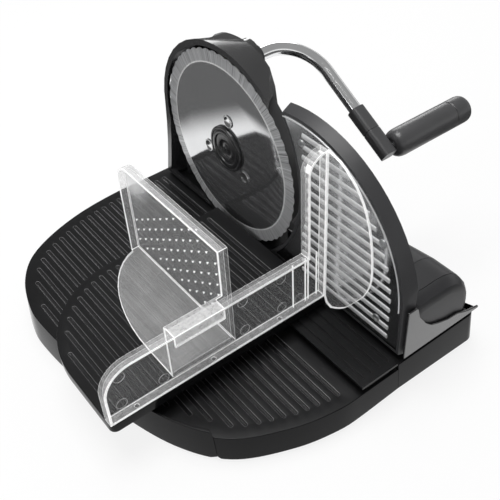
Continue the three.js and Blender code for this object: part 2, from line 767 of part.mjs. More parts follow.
function hoodShell() {
  const innerBack = HOOD.back - HOOD.skin;
  const outer = loft(hoodRings(HOOD.front, HOOD.back, 0, 0));
  const inner = loft(hoodRings(HOOD.front - OVERRUN, innerBack, HOOD.rim, HOOD.skin));
  const foot = PLATEAU_TOP + FIT;
  const below = box(
    [HOOD.front - OVERRUN * 2, HOOD.back + OVERRUN], [-HOOD_OUTER * 2, HOOD_OUTER * 2], [foot - BLADE.radius, foot]);
  const openFoot = box(
    [CASE.start, innerBack], [HOOD_SCREWS.places[2], HOOD_OUTER], [foot - OVERRUN, foot + HOOD.rim]);
  const caseRoom = rodX(CASE.radius + FIT, [HOOD.front - OVERRUN, CASE.back + FIT], 0, 0, ROUND_SIDES * 2);
  const bladeRoom = rodX(
    HOOD_OUTER - HOOD.rim, [HOOD.front - OVERRUN, CASE.start], 0, 0, ROUND_SIDES * 2);
  const boss = rodX(HOOD.boss, [innerBack, HOOD.bossEnd], 0, CRANK_RISE + HOOD.bossRise);
  const bushBore = rodX(BUSH.outer + FIT, [HOOD.back - OVERRUN - HOOD.skin, HOOD.bossEnd + OVERRUN], 0, CRANK_RISE);
  const axleBoss = rodX(HOOD.axleBoss, [CASE.back + FIT, innerBack + FIT]);
  const axleBore = rodX(AXLE.radius + FIT, [CASE.back - OVERRUN, innerBack + FIT]);
  const screwPosts = HOOD_SCREWS.places.map((y) => {
    const nearest = Math.max(Math.abs(y) - HOOD.post, 0);
    const roof = -Math.sqrt(Math.max(CASE.radius ** 2 - nearest ** 2, 0)) - FIT * 3;
    const top = nearest > CASE.radius ? foot + HOOD_OUTER / 3 : roof;
    return rodZ(HOOD.post, [foot, top], HOOD_SCREWS.x, y);
  });
  const pilotHoles = HOOD_SCREWS.places.map((y) =>
    rodZ(HOOD_SCREWS.shank + FIT, [foot - OVERRUN, foot + HOOD_SCREWS.reach + FIT], HOOD_SCREWS.x, y));
  const open = cut(outer, [inner, below, openFoot, caseRoom, bladeRoom]);
  return cut(join([open, boss, axleBoss, ...screwPosts]), [bushBore, axleBore, ...pilotHoles]);
}

function hoodScrews() {
  const seat = DECK - SKIN - FIT;
  return HOOD_SCREWS.places.map((y) => {
    const head = rodZ(HOOD_SCREWS.head, [seat - HOOD_SCREWS.headHeight, seat], HOOD_SCREWS.x, y);
    const shank = rodZ(
      HOOD_SCREWS.shank, [seat - FIT, PLATEAU_TOP + FIT + HOOD_SCREWS.reach], HOOD_SCREWS.x, y);
    return head.add(shank);
  });
}

function gearCase() {
  const drum = rodX(CASE.radius, [CASE.start, CASE.back], 0, 0, ROUND_SIDES * 2);
  const room = rodX(CASE.radius - CASE.rim, [CASE.start - OVERRUN, CASE.back - CASE.plate], 0, 0, ROUND_SIDES * 2);
  const pinionRoom = rodX(CASE.pinionPocket, [CASE.start - OVERRUN, CASE.back - CASE.plate], 0, CRANK_RISE);
  const axleBore = rodX(AXLE.radius + FIT, [CASE.start, CASE.back + OVERRUN]);
  const shaftBore = rodX(SHAFT.radius + FIT, [CASE.start, CASE.back + OVERRUN], 0, CRANK_RISE);
  return cut(drum, [room, pinionRoom, axleBore, shaftBore]);
}

function bladeAxle() {
  const front = -HUB.height + HUB.cupDepth + HUB.recessDepth;
  return rodX(AXLE.radius, [front, HOOD.back - HOOD.skin]);
}

function crankBush() {
  const sleeve = rodX(BUSH.outer, [HOOD.back - HOOD.skin - BUSH.flangeWidth, HOOD.bossEnd], 0, CRANK_RISE);
  return sleeve.subtract(rodX(SHAFT.radius + FIT, [CASE.back, HOOD.bossEnd + OVERRUN], 0, CRANK_RISE));
}

// Blade and its gear

function bladeDisc() {
  const count = BLADE.waves * BLADE.waveSteps;
  const ring = (radiusAt, x) => Array.from({ length: count }, (_, i) => {
    const angle = (i / count) * Math.PI * 2;
    const radius = radiusAt(angle);
    return new THREE.Vector3(x, radius * Math.cos(angle), radius * Math.sin(angle));
  });
  const wave = (angle) => BLADE.radius - BLADE.waveDepth * Math.abs(Math.sin((angle * BLADE.waves) / 2));
  const flat = () => BLADE.radius - BLADE.ground;
  const disc = loft([
    ring(flat, 0), ring(wave, BLADE.thickness - BLADE.edge), ring(wave, BLADE.thickness),
  ]);
  const bore = rodX(BLADE.bore, [-OVERRUN, BLADE.thickness + OVERRUN]);
  const holes = screwPlaces().map(([y, z]) =>
    rodX(BLADE.screwHole, [-OVERRUN, BLADE.thickness + OVERRUN], y, z, SMALL_SIDES));
  return cut(disc, [bore, ...holes]);
}

function screwPlaces() {
  return BLADE_SCREW_ANGLES.map((degrees) => {
    const angle = THREE.MathUtils.degToRad(degrees);
    return [BLADE.screwCircle * Math.cos(angle), BLADE.screwCircle * Math.sin(angle)];
  });
}

function bladeScrews() {
  return screwPlaces().map(([y, z]) => {
    const washer = rodX(BLADE_SCREW.head, [-FIT - BLADE_SCREW.headHeight, -FIT], y, z, SMALL_SIDES);
    const head = rodX(BLADE_SCREW.driver, [-FIT - BLADE_SCREW.rise, -FIT], y, z, SMALL_SIDES);
    const shank = rodX(BLADE_SCREW.shank, [-FIT * 2, BLADE_SCREW.reach], y, z, SMALL_SIDES);
    return join([washer, head, shank]);
  });
}

function bladeHub() {
  const front = -FIT - HUB.height;
  const groove = HUB.groove;
  return turnedX([
    [front + HUB.cupDepth, 0],
    [front + HUB.cupDepth, HUB.cup - HUB.recessDepth],
    [front + HUB.recessDepth, HUB.cup],
    [front + HUB.recessDepth, HUB.recess - HUB.recessDepth],
    [front, HUB.recess],
    [front, groove - HUB.recessDepth / 2],
    [front + HUB.recessDepth / 2, groove],
    [front, groove + HUB.recessDepth / 2],
    [front, HUB.radius - HUB.recessDepth],
    [front + HUB.recessDepth, HUB.radius],
    [-FIT, HUB.radius],
    [-FIT, HUB.plug],
    [BLADE.thickness, HUB.plug],
    [BLADE.thickness, AXLE.radius + FIT],
    [front + HUB.cupDepth + HUB.recessDepth, AXLE.radius + FIT],
    [front + HUB.cupDepth + HUB.recessDepth, 0],
  ]);
}

// Toothed outline in (Y, Z), with one tooth centred on the start angle
function gearOutline(teeth, startAngle) {
  const pitchRadius = (GEAR.module * teeth) / 2;
  const tip = pitchRadius + GEAR.addendum * GEAR.module;
  const root = pitchRadius - GEAR.dedendum * GEAR.module;
  const half = (Math.PI / (2 * teeth)) * GEAR_THICKNESS_SHARE;
  const lean = (radius) => ((radius - pitchRadius) * Math.tan(PRESSURE_ANGLE)) / pitchRadius;
  const outline = [];
  for (let i = 0; i < teeth; i += 1) {
    const middle = startAngle + (i / teeth) * Math.PI * 2;
    const corners = [
      [root, -half + lean(root)], [tip, -half + lean(tip)], [tip, half - lean(tip)], [root, half - lean(root)],
    ];
    corners.forEach(([radius, turn]) => {
      outline.push([radius * Math.cos(middle + turn), radius * Math.sin(middle + turn)]);
    });
  }
  return outline;
}

function bladeGear() {
  const back = GEAR.start + GEAR.width;
  const face = BLADE.thickness + FIT;
  const rim = prismX(gearOutline(GEAR.teeth, Math.PI / 2), GEAR.start, back);
  const rootRadius = (GEAR.module * GEAR.teeth) / 2 - GEAR.dedendum * GEAR.module;
  const dish = rodX(rootRadius - SKIN, [GEAR.start + GEAR.web, back + OVERRUN]);
  const spacer = rodX(BLADE.screwCircle + BLADE_SCREW.head, [face, GEAR.start + FIT]);
  const hub = rodX(GEAR.hub, [face, back]);
  const bore = rodX(AXLE.radius + FIT, [face - OVERRUN, back + OVERRUN]);
  const holes = screwPlaces().map(([y, z]) =>
    rodX(BLADE_SCREW.shank + FIT, [face - OVERRUN, BLADE_SCREW.reach + FIT], y, z, SMALL_SIDES));
  return cut(join([rim.subtract(dish), spacer, hub]), [bore, ...holes]);
}

// Crank, drawn about the crank axis with the arm hanging straight down

function crankShaft() {
  const collarFloor = HOOD.bossEnd + FIT + CRANK.collarLength / 2;
  return rodX(SHAFT.radius, [GEAR.start - FIT, collarFloor]);
}

function drivePinion() {
  const gap = Math.PI / GEAR.pinionTeeth;
  const rim = prismX(gearOutline(GEAR.pinionTeeth, -Math.PI / 2 + gap), GEAR.start, GEAR.start + GEAR.width);
  return rim.subtract(rodX(SHAFT.radius + FIT, [0, CASE.back]));
}

function shaftClip() {
  const back = CASE.back - CASE.plate - FIT;
  const ring = rodX(SHAFT.clipRadius, [GEAR.start + GEAR.width + FIT, back]);
  return ring.subtract(rodX(SHAFT.radius + FIT, [0, CASE.back]));
}

function crankCollar() {
  const start = HOOD.bossEnd + FIT;
  const end = start + CRANK.collarLength;
  const shaftEnd = start + CRANK.collarLength / 2 + FIT;
  const body = rodX(CRANK.collarRadius, [start, end]);
  const shaftBore = rodX(SHAFT.radius + FIT, [start - OVERRUN, shaftEnd]);
  const rodBore = rodX(CRANK.rod + FIT, [shaftEnd, end + OVERRUN]);
  return cut(body, [shaftBore, rodBore]);
}

// Rings across the centre line of the rod: straight out, a quarter bend, then straight down the arm
function crankRod() {
  const start = HOOD.bossEnd + CRANK.collarLength / 2 + FIT * 3;
  const bendStart = CRANK.arm - CRANK.bend;
  const stations = [[start, 0, 0]];
  for (let i = 0; i <= CRANK.bendSteps; i += 1) {
    const turn = (i / CRANK.bendSteps) * (Math.PI / 2);
    stations.push([bendStart + CRANK.bend * Math.sin(turn), -CRANK.bend * (1 - Math.cos(turn)), turn]);
  }
  stations.push([CRANK.arm, -CRANK.rodEnd, Math.PI / 2]);
  const rings = stations.map(([x, z, turn]) => Array.from({ length: ROD_SIDES }, (_, i) => {
    const angle = (i / ROD_SIDES) * Math.PI * 2;
    const across = CRANK.rod * Math.sin(angle);
    return new THREE.Vector3(
      x + across * Math.sin(turn), CRANK.rod * Math.cos(angle), z + across * Math.cos(turn));
  }));
  return loft(rings);
}

function crankSocket() {
  const halfWide = CRANK.socketWide / 2;
  const halfDeep = CRANK.socketDeep / 2;
  const corner = CRANK.socketCorner;
  const outline = [
    ...arc(halfWide - corner, halfDeep - corner, corner, 0, 90, CORNER_STEPS / 2),
    ...arc(corner - halfWide, halfDeep - corner, corner, 90, 180, CORNER_STEPS / 2),
    ...arc(corner - halfWide, corner - halfDeep, corner, 180, 270, CORNER_STEPS / 2),
    ...arc(halfWide - corner, corner - halfDeep, corner, 270, 360, CORNER_STEPS / 2),
  ];
  const moved = (points) => points.map(([x, y]) => [x + CRANK.arm, y]);
  const body = prismZ(moved(outline), -CRANK.socketEnd, -CRANK.socketStart);
  const seamOuter = prismZ(moved(inset(outline, -OVERRUN)), -CRANK.seam - CRANK.seamWidth, -CRANK.seam);
  const seamCore = prismZ(
    moved(inset(outline, CRANK.seamDepth)), -CRANK.seam - CRANK.seamWidth - OVERRUN, -CRANK.seam + OVERRUN);
  const rodBore = rodZ(CRANK.rod + FIT, [-CRANK.rodEnd - FIT, -CRANK.socketStart + OVERRUN], CRANK.arm, 0);
  const spindleBore = rodX(
    SPINDLE.radius + FIT, [SPINDLE_START - FIT, CRANK.arm + CRANK.socketWide], 0, -CRANK.grip);
  return cut(body, [seamOuter.subtract(seamCore), rodBore, spindleBore]);
}

function handleSpindle() {
  return rodX(SPINDLE.radius, [SPINDLE_START, GRIP.pocketStart + GRIP.nutWidth + FIT * 2]);
}

function handleNut() {
  const start = GRIP.pocketStart + FIT;
  return rodX(GRIP.nut, [start, start + GRIP.nutWidth], 0, 0, NUT_SIDES)
    .subtract(rodX(SPINDLE.radius + FIT, [start - OVERRUN, start + GRIP.nutWidth + OVERRUN]));
}

function handleGrip() {
  const capFace = GRIP.capStart - FIT;
  const nose = GRIP_NOSE_SHARES.map(([along, out]) => [
    GRIP.start + along * GRIP.nose,
    GRIP.noseRadius + out * (GRIP.radius - GRIP.noseRadius),
  ]);
  return turnedX([
    [GRIP.start, SPINDLE.radius + FIT],
    ...nose,
    [capFace, GRIP.radius],
    [capFace, GRIP.pocket],
    [GRIP.pocketStart, GRIP.pocket],
    [GRIP.pocketStart, SPINDLE.radius + FIT],
    [GRIP.start, SPINDLE.radius + FIT],
  ]);
}

function gripEndCap() {
  const dome = arc(GRIP.end - GRIP.radius, 0, GRIP.radius, 90, 0, CORNER_STEPS);
  return turnedX([
    [GRIP.capStart - GRIP.plug, 0],
    [GRIP.capStart - GRIP.plug, GRIP.pocket - FIT],
    [GRIP.capStart, GRIP.pocket - FIT],
    [GRIP.capStart, GRIP.radius],
    ...dome.slice(0, -1),
    [GRIP.end, 0],
  ]);
}

// Food carriage

function tableOutline() {
  return [
    [CARRIAGE.right, CARRIAGE.near],
    [CARRIAGE.right, CARRIAGE.far],
    ...arc(CARRIAGE.left + CARRIAGE.sweep, CARRIAGE.far - CARRIAGE.sweep, CARRIAGE.sweep, 90, 180, CORNER_STEPS * 3),
    ...arc(CARRIAGE.left + CARRIAGE.corner, CARRIAGE.near + CARRIAGE.corner, CARRIAGE.corner, 180, 270, CORNER_STEPS / 2),
  ];
}

const GUARD_PEGS = GUARD_PEG_SHARES.map((share) => CARRIAGE.left + share * (CARRIAGE.right - CARRIAGE.left));
const RUNNER_LEFT = STRIP.left - RUNNING - RUNNER.leg - RUNNER.plate;
const RUNNER_SCREW_PLACES = [
  [RUNNER_LEFT + RUNNER.plate / 2, RUNNER.near + RUNNER_SCREW.margin],
  [RUNNER_LEFT + RUNNER.plate / 2, RUNNER.near + RUNNER.length - RUNNER_SCREW.margin],
];

function carriageTable() {
  const outline = tableOutline();
  const block = prismZ(outline, CARRIAGE_BOTTOM, TABLE);
  const hollow = prismZ(inset(outline, WALL), CARRIAGE_BOTTOM - OVERRUN, TABLE - SKIN);
  const field = inset(outline, CARRIAGE.rim);
  const span = (x) => {
    const limits = spanAt(field, x);
    return limits === null ? null : [CARRIAGE.near + CARRIAGE.grooveEnd, limits[1]];
  };
  const grooves = grooveCutters(groovePlaces(CARRIAGE.firstGroove, CARRIAGE.grooves), span, TABLE);
  const wallMiddle = (GUARD.far + GUARD.near) / 2;
  const pegHoles = GUARD_PEGS.map((x) =>
    rodZ(GUARD.peg + FIT, [TABLE - SKIN - OVERRUN, TABLE + OVERRUN], x, wallMiddle));
  const screwHoles = RUNNER_SCREW_PLACES.map(([x, y]) =>
    rodZ(RUNNER_SCREW.shank + FIT, [TABLE - SKIN - OVERRUN, TABLE - SKIN / 2], x, y));
  return cut(block, [hollow, ...grooves, ...pegHoles, ...screwHoles]);
}

function carriageRunner() {
  const top = TABLE - SKIN - FIT;
  const legRight = STRIP.left - RUNNING;
  const legLeft = legRight - RUNNER.leg;
  const toeTop = STRIP_TOP - STRIP.flange - RUNNING;
  const y = [RUNNER.near, RUNNER.near + RUNNER.length];
  const plate = box([RUNNER_LEFT, legRight], y, [top - RUNNER.plateHeight, top]);
  const leg = box([legLeft, legRight], y, [toeTop - RUNNER.toeHeight, top]);
  const toe = box([legLeft, legLeft + RUNNER.leg + RUNNER.toe], y, [toeTop - RUNNER.toeHeight, toeTop]);
  const holes = RUNNER_SCREW_PLACES.map(([px, py]) =>
    rodZ(RUNNER_SCREW.shank + FIT, [top - RUNNER.plateHeight - OVERRUN, top + OVERRUN], px, py));
  return cut(join([plate, leg, toe]), holes);
}

function runnerScrews() {
  const seat = TABLE - SKIN - FIT * 2 - RUNNER.plateHeight;
  return RUNNER_SCREW_PLACES.map(([x, y]) => {
    const head = rodZ(RUNNER_SCREW.head, [seat - RUNNER_SCREW.headHeight, seat], x, y);
    return head.add(rodZ(RUNNER_SCREW.shank, [seat - FIT, TABLE - SKIN / 2 - FIT], x, y));
  });
}

function carriageGlide() {
  const middle = GROOVE.first - GLIDE_LAND * GROOVE.pitch;
  const half = GLIDE.width / 2;
  return box([middle - half, middle + half], [GLIDE.near, GLIDE.far], [DECK + FIT, TABLE - SKIN - FIT]);
}

// Outline of the clear wall in (X, Z): round at the left end, low along the food, tall at the blade
function guardOutline() {
  const foot = TABLE + FIT;
  const top = TABLE + GUARD.top;
  const uprightTop = TABLE + GUARD.uprightRise;
  const crest = TABLE + GUARD.crestRise;
  const shoulder = crest - uprightTop;
  const right = CARRIAGE.right;
  return [
    [right, foot],
    [right, crest],
    ...arc(right, uprightTop, shoulder, 90, 180, CORNER_STEPS).slice(1)
      .map(([x, z]) => [right + ((x - right) * (right - GUARD.upright)) / shoulder, z]),
    [GUARD.upright, top],
    ...arc(GUARD.left + GUARD.sweep, top - GUARD.sweep, GUARD.sweep, 90, 180, CORNER_STEPS + 2),
    [GUARD.left, foot],
  ];
}

function carriageWall() {
  const outline = guardOutline();
  const panelFace = GUARD.far - GUARD.skin;
  const block = prismY(outline, GUARD.near, GUARD.far);
  const hollow = prismY(inset(outline, GUARD.skin), GUARD.near - OVERRUN, panelFace);
  const wallMiddle = (GUARD.far + GUARD.near) / 2;
  const pegs = GUARD_PEGS.map((x) => rodZ(GUARD.peg, [TABLE - GUARD.pegLength, TABLE + GUARD.skin], x, wallMiddle));
  return join([block.subtract(hollow), ...pegs]);
}

function thumbShield() {
  const start = GUARD.near - FIT;
  const points = SHIELD_SHARES.map(([reach, height]) => [
    start - reach * SHIELD.reach,
    DECK + SHIELD.bottom + height * (SHIELD.top - SHIELD.bottom),
  ]);
  return prismX(smooth(points, SHIELD_STEPS), SHIELD.right - SHIELD.thickness, SHIELD.right);
}

// Food pusher: one clear moulding that rides on the wall's rim

function pusherBody() {
  const floor = TABLE + FIT * 2;
  const near = GUARD.far + FIT;
  const top = TABLE + PUSHER.top;
  const corner = PUSHER.corner;
  const plateOutline = [
    [near, floor],
    [PUSHER.far, floor],
    ...arc(PUSHER.far - corner, top - corner, corner, 0, 90, CORNER_STEPS),
    [near, top],
  ];
  const plate = prismX(plateOutline, PUSHER.face - PUSHER.flange, PUSHER.face);
  const dish = prismX(
    inset(plateOutline, PUSHER.skin), PUSHER.face - PUSHER.flange - OVERRUN, PUSHER.face - PUSHER.skin);
  const reach = PUSHER.face - PUSHER.floorLeft;
  const sweep = arc(0, 0, 1, 90, 180, CORNER_STEPS * 2).map(([across, along]) => [
    PUSHER.face + across * reach,
    PUSHER.floorStraight + along * PUSHER.floorDepth,
  ]);
  const floorPlate = prismZ([...sweep, [PUSHER.floorLeft, near], [PUSHER.face, near]], floor, floor + PUSHER.skin);
  const rimTop = TABLE + GUARD.top + FIT;
  const panel = box(
    [PUSHER.floorLeft, PUSHER.face], [near, near + PUSHER.skin], [floor, rimTop + PUSHER.skin]);
  const clipNear = GUARD.near - FIT - PUSHER.skin;
  const clipTop = box(
    [PUSHER.clipLeft, PUSHER.clipRight], [clipNear, near + PUSHER.skin], [rimTop, rimTop + PUSHER.skin]);
  const clipFlap = box(
    [PUSHER.clipLeft, PUSHER.clipRight], [clipNear, clipNear + PUSHER.skin],
    [rimTop + PUSHER.skin - PUSHER.clipDrop, rimTop + PUSHER.skin]);
  return join([plate.subtract(dish), floorPlate, panel, clipTop, clipFlap, ...pusherSpikes()]);
}

// Slanted rows of small points that hold the food: each row rises towards the user
function pusherSpikes() {
  const spikes = [];
  const highest = TABLE + PUSHER.highestSpike;
  for (let row = 0; row < PUSHER.rows; row += 1) {
    for (let column = 0; column < PUSHER.columns; column += 1) {
      const y = PUSHER.spikeFar - column * PUSHER.columnPitch;
      const z = TABLE + PUSHER.firstSpike + column * PUSHER.columnRise - row * PUSHER.rowPitch;
      const inside = z > TABLE + PUSHER.spikeFloor && z < highest && z - y < PUSHER.spikeCorner;
      if (inside) {
        const cone = new THREE.ConeGeometry(PUSHER.spikeRadius, PUSHER.spikeHeight + FIT, SPIKE_SIDES);
        cone.rotateZ(-Math.PI / 2).translate(PUSHER.face + (PUSHER.spikeHeight - FIT) / 2, y, z);
        spikes.push(toSolid(cone));
      }
    }
  }
  return spikes;
}

// Stop plate

// Arch over the plate and the round hollow beside the blade, which end a little before the point where they meet
function plateOutline(archY, archRadius, near) {
  const toHollow = new THREE.Vector2(PLATE.hollowY - archY, PLATE.hollowZ - ARCH_Z);
  const distance = toHollow.length();
  const along = (archRadius ** 2 - HOLLOW_RADIUS ** 2 + distance ** 2) / (distance * 2);
  const turn = toHollow.angle() + Math.acos(along / archRadius);
  const meet = [archY + archRadius * Math.cos(turn), ARCH_Z + archRadius * Math.sin(turn)];
  const degrees = THREE.MathUtils.radToDeg;
  const archStart = degrees(turn + PLATE.tip / archRadius);
  const archEnd = degrees(Math.acos(Math.max((near - archY) / archRadius, -1)));
  const hollowStart = 180 + degrees(Math.asin((PLATE.hollowZ - PLATE_BOTTOM) / HOLLOW_RADIUS));
  const hollowEnd = degrees(Math.atan2(meet[1] - PLATE.hollowZ, meet[0] - PLATE.hollowY) + PLATE.tip / HOLLOW_RADIUS);
  return [
    ...arc(archY, ARCH_Z, archRadius, archStart, archEnd, PLATE.archSteps),
    [near, PLATE_BOTTOM],
    ...arc(PLATE.hollowY, PLATE.hollowZ, HOLLOW_RADIUS, hollowStart, hollowEnd, PLATE.hollowSteps),
  ];
}

const FRONT_OUTLINE = plateOutline(PLATE.archY, PLATE.archRadius, PLATE_NEAR);
const BACK_OUTLINE = plateOutline(
  PLATE.archY - PLATE.archShift, PLATE.archRadius + PLATE.archGrow, PLATE_NEAR - PLATE.nearGrow);
const SHEET_OUTLINE = drawnIn(FRONT_OUTLINE, PLATE.border);

function plateScrewPlaces() {
  const height = PLATE.archRise + PLATE.archRadius - PLATE.rise;
  return PLATE_SCREW_PLACES_SHARES.map(([along, up]) => [
    PLATE.archY - along * PLATE.archRadius,
    PLATE_BOTTOM + up * height,
  ]);
}

function stopPlateFrame() {
  const block = loft([ringX(FRONT_OUTLINE, PLATE.front), ringX(BACK_OUTLINE, PLATE.back)]);
  const pocket = prismX(drawnIn(SHEET_OUTLINE, -FIT), PLATE.front - OVERRUN, PLATE.front + PLATE.pocket);
  const webBack = PLATE.front + PLATE.pocket + PLATE.skin;
  const hollow = prismX(drawnIn(FRONT_OUTLINE, PLATE.skin + PLATE.border), webBack, PLATE.back + OVERRUN);
  const posts = plateScrewPlaces().map(([y, z]) =>
    rodX(PLATE_SCREW.head, [webBack - FIT, PLATE.back], y, z, SMALL_SIDES));
  const holes = plateScrewPlaces().map(([y, z]) =>
    rodX(PLATE_SCREW.shank + FIT, [PLATE.front, PLATE.front + PLATE_SCREW.reach + FIT], y, z, SMALL_SIDES));
  return cut(join([cut(block, [pocket, hollow]), ...posts]), holes);
}

function stopPlateSheet() {
  const back = PLATE.front + PLATE.pocket - FIT;
  const front = back - SHEET.thickness;
  const plate = prismX(SHEET_OUTLINE, front, back);
  const field = SHEET_OUTLINE.map(([y, z]) => [z, y]);
  const height = ARCH_Z + PLATE.archRadius - PLATE_BOTTOM;
  const ribs = Array.from({ length: SHEET.ribs }, (_, i) => SHEET.ribFirstShare + i * SHEET.ribPitchShare)
    .map((share) => PLATE_BOTTOM + (1 - share) * height)
    .map((z) => [z, spanAt(field, z)])
    .map(([z, [near, far]]) => {
      const end = Math.min(far - SHEET.ribInset, SHEET.ribFar);
      const turned = slot(z, SHEET.ribWidth, near + SHEET.ribMargin, end);
      return prismX(turned.map(([v, u]) => [u, v]), front - SHEET.ribRise, front + FIT);
    });
  const holes = plateScrewPlaces().map(([y, z]) =>
    rodX(PLATE_SCREW.shank + FIT, [front - OVERRUN, back + OVERRUN], y, z, SMALL_SIDES));
  const pads = plateScrewPlaces().map(([y, z]) =>
    rodX(PLATE_SCREW.head + FIT, [front - OVERRUN, front], y, z, SMALL_SIDES));
  return cut(join([plate, ...ribs]), [...holes, ...pads]);
}

function stopPlateScrews() {
  const seat = PLATE.front + PLATE.pocket - FIT * 2 - SHEET.thickness;
  return plateScrewPlaces().map(([y, z]) => {
    const head = rodX(PLATE_SCREW.head, [seat - PLATE_SCREW.headHeight, seat], y, z, SMALL_SIDES);
    return head.add(rodX(PLATE_SCREW.shank, [seat - FIT, PLATE.front + PLATE_SCREW.reach], y, z, SMALL_SIDES));
  });
}

function stopPlateCarrier() {
  const bottom = PLATE_BOTTOM;
  const wallBack = CARRIER.near + CARRIER.skin;
  const edge = CARRIER_EDGE_SHARES.map(([across, up]) => [
    CARRIER.tabLeft + across * (CARRIER.right - CARRIER.tabLeft),
    bottom + up * CARRIER_TAB,
  ]);
  const foot = bottom + CARRIER.floor;
  const wall = prismY([
    [CARRIER.tabLeft, bottom], [CARRIER.right, bottom], [CARRIER.right, bottom + CARRIER.skin], ...edge.slice(1),
  ], CARRIER.near, wallBack);
  const floorLeft = PLATE.back + FIT;
  const floor = box([floorLeft, CARRIER.right - BASE.nearCorner], [CARRIER.near, CARRIER.far], [bottom, foot]);
  const flange = box([floorLeft, floorLeft + CARRIER.flange], [wallBack, CARRIER.far], [bottom, DECK + CARRIER.flangeRise]);
  const nutRoom = box(
    [NUT.left - STOP_TRAVEL.open - RUNNING * 2, NUT.right + STOP_TRAVEL.closed + RUNNING * 2],
    [KNOB.y - NUT.flangeHalf - RUNNING * 2, KNOB.y + NUT.flangeHalf + RUNNING * 2],
    [bottom - OVERRUN, foot + OVERRUN]);
  return cut(join([wall, floor, flange]), [nutRoom]);
}

function carrierKeys() {
  const deckUnder = DECK - SKIN;
  return KEY_PLACES.map((y) => {
    const x = [KEY.left, KEY.right];
    const pad = box(x, [y - KEY.pad / 2, y + KEY.pad / 2], [DECK + FIT, PLATE_BOTTOM - FIT]);
    const neck = box(x, [y - KEY.neck / 2, y + KEY.neck / 2], [deckUnder - FIT * 2, DECK + FIT * 2]);
    const foot = box(x, [y - KEY.pad / 2, y + KEY.pad / 2], [deckUnder - FIT - KEY.foot, deckUnder - FIT]);
    return join([pad, neck, foot]);
  });
}

function housingSection(draw) {
  const foot = PLATE_BOTTOM + CARRIER.floor + FIT;
  const centreX = HOUSING.right - HOUSING.round;
  const centreZ = HOUSING_TOP - HOUSING.round;
  const radius = HOUSING.round - draw;
  return [
    [HOUSING.left, foot],
    [HOUSING.right - draw, foot],
    ...arc(centreX, centreZ, radius, 0, 90, HOUSING.steps),
    [HOUSING.left + HOUSING.edge + draw / 2, HOUSING_TOP - draw],
    [HOUSING.left, HOUSING_TOP - HOUSING.edge - draw * HOUSING_LEFT_FALL_SHARE],
  ];
}

function housingPart(stations, closedEnd) {
  const rings = stations.map(([y, draw]) => ringY(housingSection(draw), y));
  const direction = Math.sign(stations[stations.length - 1][0] - stations[0][0]);
  const innerStations = stations.map(([y, draw], i) => {
    const isLast = i === stations.length - 1;
    const shift = isLast && closedEnd ? -direction * HOUSING.skin : 0;
    const past = (i === 0 || (isLast && !closedEnd)) ? (isLast ? 1 : -1) * direction * OVERRUN : 0;
    return [y + shift + past, draw];
  });
  const foot = PLATE_BOTTOM + CARRIER.floor + FIT;
  const inner = innerStations.map(([y, draw]) => {
    const section = inset(housingSection(draw), HOUSING.skin);
    const dropped = section.map(([x, z], i) => (i < 2 ? [x, foot - OVERRUN] : [x, z]));
    return ringY(dropped, y);
  });
  return loft(rings).subtract(loft(inner));
}

function housingNearCap() {
  const start = HOUSING.nearSeam - HOUSING.seamGap;
  const end = CARRIER.near + CARRIER.skin + FIT;
  const stations = NEAR_CAP_SHARES.map(([along, draw]) => [start + along * (end - start), draw * HOUSING.nearDraw]);
  return housingPart(stations, true);
}

function adjusterHousing() {
  return housingPart([[HOUSING.nearSeam, 0], [HOUSING.farSeam - HOUSING.seamGap, 0]], false);
}

function housingRearCover() {
  const length = HOUSING.far - HOUSING.farSeam;
  const stations = REAR_COVER_SHARES.map(([along, fall]) => [
    HOUSING.farSeam + along * length, fall * HOUSING.rearFall,
  ]);
  const shell = housingPart(stations, true);
  const boss = rodX(KNOB.boss, [KNOB.bossStart, KNOB.start - FIT], KNOB.y, KNOB_Z);
  const bore = rodX(KNOB.spindle + FIT, [HOUSING.left, KNOB.start + OVERRUN], KNOB.y, KNOB_Z);
  return shell.add(boss).subtract(bore);
}

// Thickness knob, drawn about its own axis

function thicknessKnob() {
  const outline = Array.from({ length: KNOB.lobes * 4 }, (_, i) => {
    const angle = (i / (KNOB.lobes * 4)) * Math.PI * 2;
    const radius = KNOB.radius - KNOB.lobeDepth * (1 - Math.abs(Math.cos((angle * KNOB.lobes) / 2)));
    return [radius * Math.cos(angle), radius * Math.sin(angle)];
  });
  const body = prismX(outline, KNOB.start, KNOB.end);
  return body.subtract(rodX(KNOB.spindle + FIT, [KNOB.start - OVERRUN, KNOB.spindleEnd + FIT]));
}

function knobSpindle() {
  return rodX(KNOB.spindle, [KNOB.spindleStart, KNOB.spindleEnd]);
}

function spindleCollar() {
  const end = KNOB.bossStart - FIT;
  const ring = rodX(KNOB.collar, [end - KNOB.collarWidth, end]);
  return ring.subtract(rodX(KNOB.spindle + FIT, [HOUSING.left, KNOB.bossStart]));
}

// Assembly

function at(whole, x, y, z) {
  whole.position.set(x, y, z);
  return whole;
}

const base = group(
  piece('base_body', baseBody(), 'moulded'),
  piece('front_tray', frontTray(), 'moulded'),
  piece('guide_strip', guideStrip(), 'moulded'),
  piece('base_bottom_cover', bottomCover(), 'moulded'),
  ...pieces('foot', feet(), 'rubber'),
  ...pieces('base_screw', baseScrews(), 'zinc'),
  piece('spindle_nut', spindleNut(), 'nylon'),
);

const hood = group(
  piece('hood_shell', hoodShell(), 'glossy'),
  ...pieces('hood_screw', hoodScrews(), 'zinc'),
  piece('gear_case', gearCase(), 'moulded'),
  piece('blade_axle', bladeAxle(), 'zinc'),
  piece('crank_bush', crankBush(), 'nylon'),
);

const blade = group(
  piece('blade', bladeDisc(), 'steel'),
  piece('blade_hub', bladeHub(), 'moulded'),
  ...pieces('blade_screw', bladeScrews(), 'chrome'),
  piece('blade_gear', bladeGear(), 'nylon'),
);

const grip = at(group(
  piece('handle_grip', handleGrip(), 'satin'),
  piece('grip_end_cap', gripEndCap(), 'satin'),
), 0, 0, -CRANK.grip);

